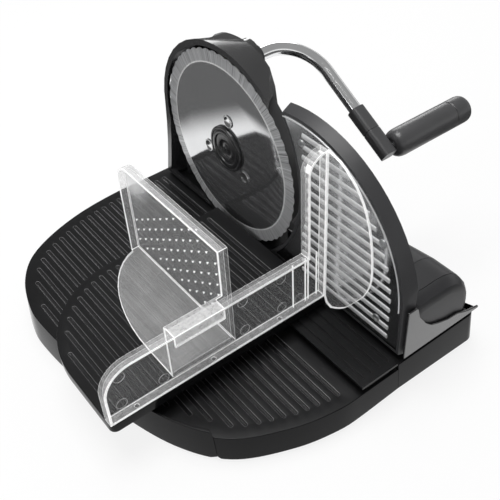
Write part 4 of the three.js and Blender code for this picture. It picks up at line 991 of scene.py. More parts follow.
@cache
def mixed(finish: Finish) -> Material:
    """The material of a finish, mixed once."""
    return finish.mix()


def grey(level: float, blue: float = 0.0) -> Colour:
    """A grey, with a little more blue."""
    return level, level, level + blue


GRAIN_ALONG = (1.0, 0.05, 1.0)


@dataclass(frozen=True)
class Finishes:
    """Every finish of the slicer."""

    deck: Finish = Moulding("deck_black_plastic", grey(0.008, 0.0005), 0.4, 0.14, grain_depth=0.03)
    side: Finish = Moulding("side_black_plastic", grey(0.006, 0.0005), 0.14, 0.15, 5.0, 0.004)
    groove: Finish = Moulding("groove_black_plastic", grey(0.007, 0.0005), 0.2, 0.6, 1.5, 0.006)
    # Groove lips, painted far lighter than the deck: a painted highlight.
    lip: Finish = Moulding("lip_highlight_black_plastic", grey(0.11, 0.002), 0.25, 1.0, grain_depth=0.01)
    black: Finish = Moulding("black_plastic", grey(0.013, 0.001), 0.4, grain_depth=0.025)
    strip: Finish = Moulding("strip_black_plastic", grey(0.006, 0.0005), 0.3, 0.2, grain_depth=0.015)
    gloss: Finish = Moulding("gloss_black_plastic", grey(0.016, 0.001), 0.22, 0.9, 3.0, 0.01, 0.6)
    satin: Finish = Moulding("satin_black_plastic", grey(0.021, 0.002), 0.42, 0.55, 0.45, 0.03)
    drum: Finish = Moulding("drum_black_plastic", grey(0.03, 0.001), 0.38, 0.6)
    # Painted lighter than the satin black of the same plastic, standing in for the light the grip and
    # socket catch.
    handle: Finish = Moulding("handle_painted_lighter_black_plastic", grey(0.055, 0.002), 0.36, 0.7, 0.45)
    frame: Finish = Moulding("frame_black_plastic", grey(0.036, 0.002), 0.42, 0.45, 0.45)
    hub: Finish = Moulding("hub_plastic", grey(0.012, 0.001), 0.22, 0.6, 2.0, 0.008, 0.3)
    nylon: Finish = Moulding(
        "natural_nylon", (0.66, 0.63, 0.54), 0.45, grain=0.8, grain_depth=0.015, spread=0.06
    )
    rubber: Finish = Moulding("black_rubber", grey(0.016), 0.75, 0.3, 0.5, 0.06)
    clear: Finish = ClearPlastic("clear_plastic", 0.035, 0.35)
    # Edges: milky white, with a painted glow standing in for the light they catch.
    clear_edge: Finish = ClearPlastic(
        "clear_plastic_edge_painted_glow", 0.95, 0.2, grey(0.97), line_share=0.15, glow=0.3
    )
    clear_band: Finish = ClearPlastic("clear_plastic_band", 0.24, 0.3, grey(0.95), line_share=0.4)
    clear_clip: Finish = ClearPlastic("clear_plastic_clip", 0.38, 0.3, grey(0.96), line_share=0.3)
    clear_floor: Finish = ClearPlastic(
        "clear_plastic_floor", 0.17, 0.2, grey(0.95), (1.0, 0.04, 1.0), 4.0, 0.3
    )
    clear_plate: Finish = ClearPlastic("clear_plastic_plate", 0.06, 0.3, cloud=(-97.0, 14.0, 18.0))
    blade: Finish = BladeSteel()
    sheet: Finish = Plating("plate_steel", (0.72, 0.725, 0.735), 0.2, GRAIN_ALONG, 1.2, 0.002)
    rib: Finish = Plating("rib_steel", (0.74, 0.745, 0.75), 0.34, GRAIN_ALONG, 1.2, 0.002, 0.5)
    chrome: Finish = Plating("chrome", (0.93, 0.935, 0.94), 0.12, (0.3, 1.0, 1.0), 2.0, 0.002)
    zinc: Finish = Plating("zinc_steel", (0.56, 0.57, 0.58), 0.32, (1.0, 1.0, 1.0), 0.8, 0.01)

    @property
    def grooved(self) -> tuple[Finish, ...]:
        """The finishes of a grooved moulding, in the order of Surface."""
        return self.deck, self.side, self.groove, self.lip

    def by_slot(self, slot: str) -> Finish:
        """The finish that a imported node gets.

        Args:
            slot: the node's material slot.

        Returns:
            The finish.
        """
        slots = {
            "black_plastic": self.black, "gloss_black_plastic": self.gloss,
            "satin_black_plastic": self.satin, "hub_plastic": self.hub, "clear_plastic": self.clear,
            "blade_steel": self.blade, "plate_steel": self.sheet, "chrome": self.chrome,
            "zinc_steel": self.zinc, "natural_nylon": self.nylon, "black_rubber": self.rubber,
        }
        return slots[slot]


class Bench(Kit):
    """A Geometry Nodes tree with named sizes, which ends in Realize Instances and Set Material."""

    def __init__(self, name: str) -> None:
        """Starts a tree whose input geometry is the object's own mesh.

        Args:
            name: name of the tree.
        """
        super().__init__(bpy.data.node_groups.new(name, "GeometryNodeTree"))
        for way in ("OUTPUT", "INPUT"):
            self.tree.interface.new_socket("Geometry", in_out=way, socket_type="NodeSocketGeometry")
        self.entry = self.tree.nodes.new("NodeGroupInput")
        self.exit = self.tree.nodes.new("NodeGroupOutput")
        self.start = Wire(self, self.entry.outputs[0])
        self.sizes: dict[str, float | int] = {}

    def size(self, name: str, value: float | int) -> Wire:
        """Adds a named input.

        Args:
            name: name of the size.
            value: its value on this piece.

        Returns:
            The input.
        """
        kind = "NodeSocketInt" if isinstance(value, int) else "NodeSocketFloat"
        socket = self.tree.interface.new_socket(name, in_out="INPUT", socket_type=kind)
        self.sizes[socket.identifier] = value
        return Wire(self, self.entry.outputs[name])

    def geo(self, kind: str, output: int | str = 0, **values: Wire | float | tuple) -> Wire:
        """Adds a geometry node, with its inputs as keywords, and returns an output."""
        named = {socket_name(key): value for key, value in values.items()}
        return self.wire("GeometryNode" + kind, named, output)

    def build(self, name: str, last: Wire, finish: Finish, start: Form | None = None) -> Piece:
        """Runs the tree and keeps its result as a plain mesh.

        Args:
            name: name of the piece.
            last: the geometry that the tree has made.
            finish: the finish.
            start: what the tree starts from, in millimetres.

        Returns:
            An object at the origin with its place in its mesh, in metres.
        """
        real = self.geo("RealizeInstances", geometry=last)
        dressed = self.geo("SetMaterial", geometry=real, material=mixed(finish))
        self.tree.links.new(dressed.socket, self.exit.inputs[0])
        data = bpy.data.meshes.new(name)
        if start is not None:
            start.mesh.to_mesh(data)
            start.mesh.free()
        piece = linked(name, data)
        modifier = piece.modifiers.new("bench", "NODES")
        modifier.node_group = self.tree
        for identifier, value in self.sizes.items():
            modifier[identifier] = value
        settled(piece)
        mesh = bmesh.new()
        mesh.from_mesh(piece.data)
        bmesh.ops.remove_doubles(mesh, verts=mesh.verts, dist=WELD_MM)
        bmesh.ops.recalc_face_normals(mesh, faces=mesh.faces)
        mesh.transform(DATUM.matrix())
        mesh.to_mesh(piece.data)
        mesh.free()
        return smoothed(piece)


@dataclass
class Maker:
    """What every sub-assembly shares: its finishes and how it hands a piece over."""

    finishes: Finishes

    def hand_over(
        self, piece: Piece, body: Body, slot: str, finishes: tuple[Finish, ...], *nodes: str,
    ) -> Piece:
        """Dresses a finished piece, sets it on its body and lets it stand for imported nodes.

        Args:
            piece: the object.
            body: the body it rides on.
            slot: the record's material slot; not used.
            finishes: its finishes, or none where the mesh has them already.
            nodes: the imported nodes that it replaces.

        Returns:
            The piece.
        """
        for finish in finishes:
            piece.data.materials.append(mixed(finish))
        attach(piece, body.value)
        if nodes:
            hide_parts(*nodes)
        LOG.info("%s: %d faces on %s", piece.name, len(piece.data.polygons), body.value)
        return piece

    def cast(
        self, node: str, name: str, body: Body, slot: str, finishes: Finish | tuple[Finish, ...],
        rounding: Rounding, shave: Shave | None = None,
        choose: Callable[[Face], int] | None = None,
    ) -> Piece:
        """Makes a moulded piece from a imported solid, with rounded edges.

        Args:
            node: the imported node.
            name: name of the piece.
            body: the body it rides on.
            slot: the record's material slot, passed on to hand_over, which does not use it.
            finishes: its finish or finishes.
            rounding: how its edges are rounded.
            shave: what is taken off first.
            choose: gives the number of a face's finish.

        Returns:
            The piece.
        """
        several = finishes if isinstance(finishes, tuple) else (finishes,)
        return self.hand_over(cast_copy(node, name, several, rounding, shave, choose), body, slot, (), node)


@dataclass
class Base(Maker):
    """The base with its deck, tray, guide strip, hood, gear case and feet."""

    left: float = -213.0
    right: float = 97.0
    near: float = -232.0
    far: float = 129.0
    bottom: float = -126.0
    deck: float = -95.0
    flare: float = 2.5
    near_corner: float = 12.0
    far_corner: float = 64.0
    field_margin: float = 13.5
    draw: float = 0.15
    curve_shares: tuple[Flat, ...] = (
        (0.616, 1.0), (0.474, 1.0), (0.332, 0.985), (0.203, 0.95), (0.106, 0.9), (0.042, 0.825),
        (0.006, 0.731), (0.0, 0.659), (0.013, 0.532), (0.052, 0.352), (0.113, 0.199), (0.203, 0.094),
        (0.348, 0.03), (0.474, 0.003), (0.558, 0.0),
    )
    cover_room: float = -123.4
    rim_width: float = 1.6
    pitch: float = 9.45
    first_groove: float = -9.3
    tray_deck: float = -100.5
    tray_left: float = -183.0
    tray_right: float = -1.0
    tray_rear: float = -112.0
    tray_edge: tuple[Flat, ...] = (
        (-183, -112), (-183, -136), (-175.3, -153.5), (-166.8, -169.5), (-158.8, -180.4),
    )
    tray_margins: Flat = (11.0, 2.5)
    groove_room: float = 5.0
    plateau_corner: float = 3.0
    overlap: float = 0.5
    channel_floor: float = 1.5
    tray_seam: float = -158.8
    seam_lift: float = 1.2
    seam_gap: float = 0.3
    channel: tuple[float, float, float] = (-47.0, -1.0, 20.0)
    plateau: tuple[float, float, float, float, float] = (1.6, 46.0, -66.0, 119.0, -90.0)
    blade_slot: Flat = (1.5, 23.7)
    strip_left: float = -42.5
    strip_edge: float = 0.3
    small_edge: float = 0.5
    shell_edge: float = 0.9

    def build(self) -> None:
        """Makes the pieces that stand still."""
        done = self.finishes
        self.shell()
        self.tray()
        casts = [
            ("guide_strip", "guide_rail", "black_plastic", done.strip, Rounding(self.strip_edge)),
            ("hood_shell", "hood", "gloss_black_plastic", done.gloss, Rounding(self.shell_edge, 3, 25.0)),
            ("gear_case", "drum", "black_plastic", done.drum, Rounding(self.small_edge)),
        ]
        for number in range(1, 5):
            foot = Rounding(self.small_edge)
            casts.append((f"foot_{number}", f"rubber_foot_{number}", "black_rubber", done.rubber, foot))
        for node, name, slot, finish, rounding in casts:
            self.cast(node, name, Body.BASE, slot, finish, rounding)

    def outline(self) -> Outline:
        """The base's outline at its foot."""
        wide, deep = self.right - self.left, self.far - self.near
        shares = [(self.left + u * wide, self.near + v * deep) for u, v in self.curve_shares]
        curve = smooth_curve(shares, 110)
        small = (self.right - self.near_corner, self.near + self.near_corner)
        large = (self.right - self.far_corner, self.far - self.far_corner)
        corners = [*arc(small, self.near_corner, -90, 0, 10), *arc(large, self.far_corner, 0, 90, 26)]
        return drawn_in([*curve, *corners], self.draw)

    def rims(self) -> tuple[Outline, Outline, Outline]:
        """The outline at the deck, at the foot, and inside the foot, point for point."""
        foot = self.outline()
        return drawn_in(foot, self.flare), foot, drawn_in(foot, self.rim_width)

    def parted(
        self, outline: Outline, guide: Outline, seams: Flat, ends: Outline | None = None
    ) -> tuple[Outline, Outline]:
        """Parts an outline at the two seams of the tray.

        Args:
            outline: the outline.
            guide: the outline at the deck, which says which points lie between the seams.
            seams: places of the left and the right seam.
            ends: an outline whose meeting points with the seams are used, a little lifted.

        Returns:
            The base's share of the outline, from the right seam round to the left one, and the tray's.
        """
        left, right = seams
        between = [left < u < right and v < self.tray_rear for u, v in guide]
        count = len(outline)
        start = next(i for i in range(count) if between[i] and not between[i - 1])
        length = next(i for i in range(count) if not between[(start + i) % count])
        run = [outline[(start + i) % count] for i in range(length)]
        rest = [outline[(start + length + i) % count] for i in range(count - length)]
        first, last = (self.crossing(ends or outline, place) for place in seams)
        if ends:
            first, last = ((u, v + self.seam_lift) for u, v in (first, last))
        rest = self.evened(rest, last, first, lambda u, v: not (left < u < right and v < self.tray_rear))
        run = self.evened(run, first, last, lambda u, v: left < u < right)
        return [last, *rest, first], [first, *run, last]

    def crossing(self, outline: Outline, place: float) -> Flat:
        """The point in front of the tray's rear where an outline meets a seam.

        Args:
            outline: the outline.
            place: the seam's place along X.

        Returns:
            The point.
        """
        for (u0, v0), (u1, v1) in zip(outline, outline[1:] + outline[:1]):
            if (u0 - place) * (u1 - place) <= 0 and u0 != u1 and max(v0, v1) < self.tray_rear:
                return place, v0 + (v1 - v0) * (place - u0) / (u1 - u0)
        raise ValueError(f"no outline at {place}")

    @staticmethod
    def evened(line: Outline, start: Flat, end: Flat, fits: Callable[[float, float], bool]) -> Outline:
        """Spreads the points at a line's ends that have passed a seam.

        Args:
            line: the line between two seams.
            start: the point on the first seam.
            end: the point on the second seam.
            fits: whether a point is on the line's side of the seams.

        Returns:
            The line with as many points.
        """
        good = [i for i, point in enumerate(line) if fits(*point)]
        low, high = good[0], good[-1]
        count = len(line)
        even = list(line)
        for i in range(low):
            even[i] = tuple(Vector(start).lerp(Vector(line[low]), (i + 1) / (low + 1)))
        for i in range(high + 1, count):
            even[i] = tuple(Vector(line[high]).lerp(Vector(end), (i - high) / (count - high)))
        return even

    def notch(self) -> Outline:
        """Inner edge of the base, from the left seam round the tray and the channel to the right seam."""
        gap = self.seam_gap
        edge = [(u - gap, v) for u, v in reversed(self.tray_edge[1:])]
        left, right, far = self.channel
        rear = self.tray_rear + gap
        slot, half = self.blade_slot
        return [
            *edge, (self.tray_left - gap, rear), (left, rear), (left, far), (right, far), (right, half),
            (slot, half), (slot, -half), (right + gap, -half),
        ]

    def shell(self) -> None:
        """Draws the base as one closed moulding with its grooved deck."""
        deck_rim, foot_rim, inner_rim = self.rims()
        seams = (self.tray_seam - self.seam_gap, self.tray_right + self.seam_gap)
        deck, foot = (self.parted(rim, deck_rim, seams)[0] for rim in (deck_rim, foot_rim))
        inner = self.parted(inner_rim, deck_rim, seams, foot_rim)[0]
        notch = self.notch()
        form = Form()
        levels = self.levels(foot, inner, notch)
        GroovedDeck().mould(form, [*deck, *notch], self.deck, levels, self.deck_grooves())
        slot, half = self.blade_slot
        left, right, far = self.channel[0] - self.overlap, slot + self.overlap, half + self.overlap
        floor = box_outline(left, right, self.tray_rear, far)
        form.slab(floor, [(self.tray_deck - self.channel_floor, 0.0), (self.tray_deck, 0.0)])
        *plan, top = self.plateau
        edge = [(self.deck - 1.0, 0.0), (top - 0.6, 0.0), (top - 0.18, 0.15), (top, 0.6)]
        form.slab(rounded_corners(box_outline(*plan), self.plateau_corner, 5), edge)
        piece = smoothed(form.piece("base_shell"), SHARP_MOULDED)
        self.hand_over(piece, Body.BASE, "black_plastic", self.finishes.grooved, "base_body")

    def levels(self, foot: Outline, inner: Outline, edge: Outline) -> list[Loop]:
        """The rings of a moulding's walls, from above its foot to the room for the cover.

        Args:
            foot: the outer wall's share of the outline at the foot.
            inner: the same inside the foot's rim.
            edge: the rest of the outline.

        Returns:
            The rings.
        """
        low, room = self.bottom, self.cover_room
        return [
            self.level(foot, edge, low + 0.5, room + 0.3, 0.0),
            self.level(drawn_in_open(foot, 0.35), edge, low, room + 0.2, 0.2),
            self.level(inner, edge, low, room + 0.1, 0.35),
            self.level(inner, edge, room, room, 0.5),
        ]

    @staticmethod
    def level(
        outer: Outline, notch: Outline, outer_height: float, notch_height: float, draw: float
    ) -> Loop:
        """One ring of the base's walls.

        Args:
            outer: the outer wall's share of the ring.
            notch: the notch's share.
            outer_height: height of the outer share.
            notch_height: height of the notch's share.
            draw: how far the notch's share stands back from the notch.

        Returns:
            The ring.
        """
        whole = drawn_in([*outer, *notch], draw) if draw else [*outer, *notch]
        split = len(outer)
        inner = [(u, v, notch_height) for u, v in whole[split:]]
        ends = {0, split - 1}
        run = [(u, v, outer_height) for i, (u, v) in enumerate(outer) if i not in ends]
        first, last = ((*outer[i], notch_height) for i in (0, -1))
        return [first, *run, last, *inner]

    def deck_grooves(self) -> Grooves:
        """Places and reaches of the grooves in the upper deck."""
        field_outline = drawn_in(self.outline(), self.field_margin)
        grooves = []
        count = int((self.first_groove - self.left) / self.pitch)
        for place in spread(count, self.first_groove, -self.pitch):
            span = span_at(field_outline, place)
            if span is None:
                continue
            start = span[0]
            if place > self.tray_left - self.pitch:
                start = max(start, self.tray_rear + self.groove_room)
            if place > self.channel[0] - Groove.width:
                start = max(start, self.channel[2] + self.groove_room)
            if span[1] - start > self.pitch:
                grooves.append((place, (start, span[1])))
        return grooves

    def tray(self) -> None:
        """Draws the lower front tray as one closed moulding."""
        deck_rim, foot_rim, inner_rim = self.rims()
        seams = (self.tray_seam, self.tray_right)
        share = (self.tray_deck - self.bottom) / (self.deck - self.bottom)
        deck_rim = drawn_in(foot_rim, self.flare * share)
        deck, foot = (self.parted(rim, deck_rim, seams)[1] for rim in (deck_rim, foot_rim))
        inner = self.parted(inner_rim, deck_rim, seams, foot_rim)[1]
        edge = [(self.tray_right, self.tray_rear), *self.tray_edge]
        plan = [*deck, *edge]
        margin, rear_margin = self.tray_margins
        field_outline = drawn_in(plan, margin)
        rim_field = drawn_in(self.outline(), self.field_margin)
        grooves = []
        count = int((self.first_groove - self.tray_left) / self.pitch)
        for place in spread(count, self.first_groove, -self.pitch):
            spans = [span_at(field_outline, place), span_at(rim_field, place)]
            if place > self.strip_left - self.pitch / 2 or None in spans:
                continue
            grooves.append((place, (max(spans[0][0], spans[1][0]), self.tray_rear - rear_margin)))
        form = Form()
        GroovedDeck().mould(form, plan, self.tray_deck, self.levels(foot, inner, edge), grooves)
        piece = smoothed(form.piece("front_tray_moulding"), SHARP_MOULDED)
        self.hand_over(piece, Body.BASE, "black_plastic", self.finishes.grooved, "front_tray")


@dataclass
class Blade(Maker):
    """The wave-edged blade with its hub and screws."""

    radius: float = 95.0
    bore: float = 12.0
    thickness: float = 1.2
    edge: float = 0.3
    band: float = 82.5
    waves: int = 54
    wave_depth: float = 1.3
    wave_sink: float = 0.08
    steps: int = 648
    hub_radius: float = 22.6
    hub_back: float = -0.3
    hub_front: float = -2.9
    hub_facets: int = 128
    hub_rings: tuple[Flat, ...] = (
        (0.35, 22.35), (0.08, 21.9), (0.0, 21.4), (0.0, 20.1), (0.1, 19.9), (0.45, 19.75), (0.45, 19.3),
        (0.1, 19.15), (0.0, 18.95), (0.0, 15.6), (0.1, 15.2), (0.4, 15.0), (0.9, 14.8), (0.9, 11.4),
        (0.72, 11.2), (0.72, 10.6), (0.9, 10.4), (0.9, 9.1), (1.0, 8.6), (1.9, 8.1), (2.1, 6.8),
        (2.15, 2.4), (1.75, 1.9), (1.7, 0.0),
    )
    screw_facets: int = 40
    screw_dish: tuple[Flat, ...] = (
        (0.08, 6.15), (0.0, 5.8), (0.0, 5.3), (0.12, 4.9), (0.42, 3.6), (0.5, 3.3), (0.62, 2.9),
        (0.62, 0.0),
    )
    screw_radius: float = 6.4
    screw_circle: float = 31.5
    screw_turn: float = 98.3
    screw_rise: float = 1.1

    def build(self) -> None:
        """Makes the blade, the hub and the screws."""
        self.disc()
        self.hub()
        self.screws()

    def disc(self) -> None:
        """Turns the disc and lets a Geometry Nodes tree cut the waves into its edge."""
        back = self.thickness
        profile = [
            (0.0, self.bore), (0.0, 30.0), (0.0, 60.0), (0.0, self.band - 0.5), (0.1, self.band),
            (0.12, self.band + 0.4), (0.2, 86.0), (0.34, 90.0), (0.42, 93.0), (0.5, self.radius),
            (0.5 + self.edge, self.radius), (1.0, 92.5), (back, 90.0), (back, 60.0), (back, self.bore),
        ]
        form = Form().turn(profile, self.steps, ring=True)
        bmesh.ops.remove_doubles(form.mesh, verts=form.mesh.verts, dist=WELD_MM)
        bench = Bench("blade_waves")
        waves = bench.size("Waves", self.waves)
        depth = bench.size("Wave depth", self.wave_depth)
        inner = bench.size("Band radius", self.band)
        outer = bench.size("Blade radius", self.radius)
        place = bench.geo("InputPosition")
        _, across, up = bench.split(place)
        angle = up.maths("ARCTAN2", across)
        radius = (across * across + up * up).maths("SQRT")
        share = ((radius - inner) / (outer - inner)).maths("MAXIMUM", 0.0)
        crest = (angle * waves * 0.5).maths("SINE").maths("ABSOLUTE")
        hollow = 1.0 - crest
        draw = 1.0 - depth * hollow * share ** 3 / radius
        sunk = bench.joined((1.0 - hollow) * share * self.wave_sink)
        scaled = bench.vector("MULTIPLY", place, bench.joined(1.0, draw, draw))
        last = bench.geo("SetPosition", geometry=bench.start, position=scaled, offset=sunk)
        piece = smoothed(bench.build("wave_blade", last, self.finishes.blade, form), SHARP_GROUND)
        self.hand_over(piece, Body.BLADE, "blade_steel", (), "blade")

    def hub(self) -> None:
        """Turns the hub with its groove, rings and cup."""
        front, back, radius = self.hub_front, self.hub_back, self.hub_radius
        profile = [(back, 0.0), (back, 21.8), (back - 0.4, 22.4), (-0.9, radius), (front + 0.9, radius)]
        profile += [(front + depth, reach) for depth, reach in self.hub_rings]
        piece = smoothed(Form().turn(profile, self.hub_facets).piece("hub_cap"), SHARP_TURNED)
        self.hand_over(piece, Body.BLADE, "hub_plastic", (self.finishes.hub,), "blade_hub")

    def screws(self) -> None:
        """Sets one dished screw at three places round the hub with a Geometry Nodes tree."""
        rim, radius = -self.screw_rise, self.screw_radius
        profile = [(-0.3, 0.0), (-0.3, 6.1), (-0.45, radius), (rim + 0.35, radius)]
        profile += [(rim + depth, reach) for depth, reach in self.screw_dish]
        bench = Bench("blade_screw_ring")
        count = bench.size("Screws", 3)
        circle = bench.size("Circle radius", self.screw_circle)
        turn = bench.size("First angle", math.radians(self.screw_turn))
        ring = bench.geo("MeshCircle", vertices=count, radius=circle)
        stood_up = bench.joined(math.pi / 2, 0.0, math.pi / 2)
        placed = bench.geo("Transform", geometry=ring, rotation=stood_up)
        turned = bench.geo("Transform", geometry=placed, rotation=bench.joined(turn))
        last = bench.geo("InstanceOnPoints", points=turned, instance=bench.start)
        form = Form().turn(profile, self.screw_facets)
        piece = bench.build("blade_screw_set", last, self.finishes.chrome, form)
        self.hand_over(piece, Body.BLADE, "chrome", (), *(f"blade_screw_{i}" for i in (1, 2, 3)))


@dataclass
class Crank(Maker):
    """The crank: collar, bent rod, socket, and the turning grip with its cap."""

    rise: float = 80.0
    angle: float = -60.0
    collar_end: float = 40.0
    rod: float = 5.9
    rod_facets: int = 40
    bend: float = 40.0
    arm: float = 89.5
    rod_end: float = 92.0
    grip_place: float = 128.0
    grip: Flat = (98.0, 190.0)
    grip_radius: float = 12.75
    grip_facets: int = 72
    cap_start: float = 170.0
    nose: float = 8.0
    nose_radius: float = 7.5
    gap: float = 0.3

    def turned(self) -> Matrix:
        """Turns what is drawn hanging below the axis to its place in the photograph."""
        axis = Matrix.Translation((0, 0, self.rise))
        return axis @ Matrix.Rotation(math.radians(self.angle), 4, "X")

    def build(self) -> None:
        """Makes the crank's pieces."""
        done = self.finishes
        black = "satin_black_plastic"
        self.cast("crank_collar", "collar", Body.CRANK, black, done.satin, Rounding(0.8, 3))
        self.bent_rod()
        # The socket takes the handle finish, painted lighter to stand in for the light it catches.
        self.cast("crank_socket", "socket", Body.CRANK, black, done.handle, Rounding(0.7, 2))
        self.handle()

    def bent_rod(self) -> None:
        """Sweeps the rod along its bend with a Geometry Nodes tree."""
        corner = (self.arm - self.bend, -self.bend)
        bend = arc(corner, self.bend, 90, 0, 20)
        path = [(self.collar_end + self.gap, 0.0), *bend, (self.arm, -self.rod_end)]
        form = Form().edges((x, 0.0, z) for x, z in path).moved(self.turned())
        bench = Bench("rod_sweep")
        thick = bench.size("Rod radius", self.rod)
        facets = bench.size("Facets", self.rod_facets)
        line = bench.geo("MeshToCurve", mesh=bench.start)
        ring = bench.geo("CurvePrimitiveCircle", resolution=facets, radius=thick)
        last = bench.geo("CurveToMesh", curve=line, profile_curve=ring, fill_caps=True)
        piece = smoothed(bench.build("bent_rod", last, self.finishes.chrome, form), SHARP_SWEPT)
        self.hand_over(piece, Body.CRANK, "chrome", (), "crank_rod")

    def handle(self) -> None:
        """Turns the grip and its end cap, with the seam between them."""
        start, end = self.grip
        radius, seam, half = self.grip_radius, self.cap_start, self.gap / 2
        nose = self.nose_radius
        grip = [
            (start + 0.4, 0.0), (start + 0.4, 5.9), (start, 6.3), (start, nose - 0.6), (start + 0.15, nose),
            (start + 0.8, 9.4), (start + 2.0, 10.9), (start + 4.0, 12.0), (start + 6.2, 12.5),
            (start + self.nose + 1, radius), (start + 30, radius), (seam - 1.2, radius),
            (seam - 0.5, radius - 0.12), (seam - half, radius - 0.45), (seam - half, 0.0),
        ]
        cap = [
            (seam + half, 0.0), (seam + half, radius - 0.45), (seam + 0.5, radius - 0.12),
            (seam + 1.2, radius), (end - 7.0, radius), (end - 4.2, 12.45), (end - 2.4, 11.7),
            (end - 1.1, 10.5), (end - 0.35, 8.8), (end - 0.05, 6.4), (end, 3.0), (end, 0.0),
        ]
        for name, profile, node in (("grip", grip, "handle_grip"), ("grip_cap", cap, "grip_end_cap")):
            form = Form().turn(profile, self.grip_facets, (0.0, -self.grip_place)).moved(self.turned())
            piece = smoothed(form.piece(name), SHARP_TURNED)
            # The grip and cap take the handle finish, painted lighter to stand in for the light they catch.
            self.hand_over(piece, Body.GRIP, "satin_black_plastic", (self.finishes.handle,), node)


class Clear(Enum):
    """Which clear finish a face of a clear moulding gets."""

    PANEL = 0
    # Narrow faces: the milky edge finish with its painted glow.
    EDGE = 1
    BAND = 2
    FLOOR = 3
    CLIP = 4


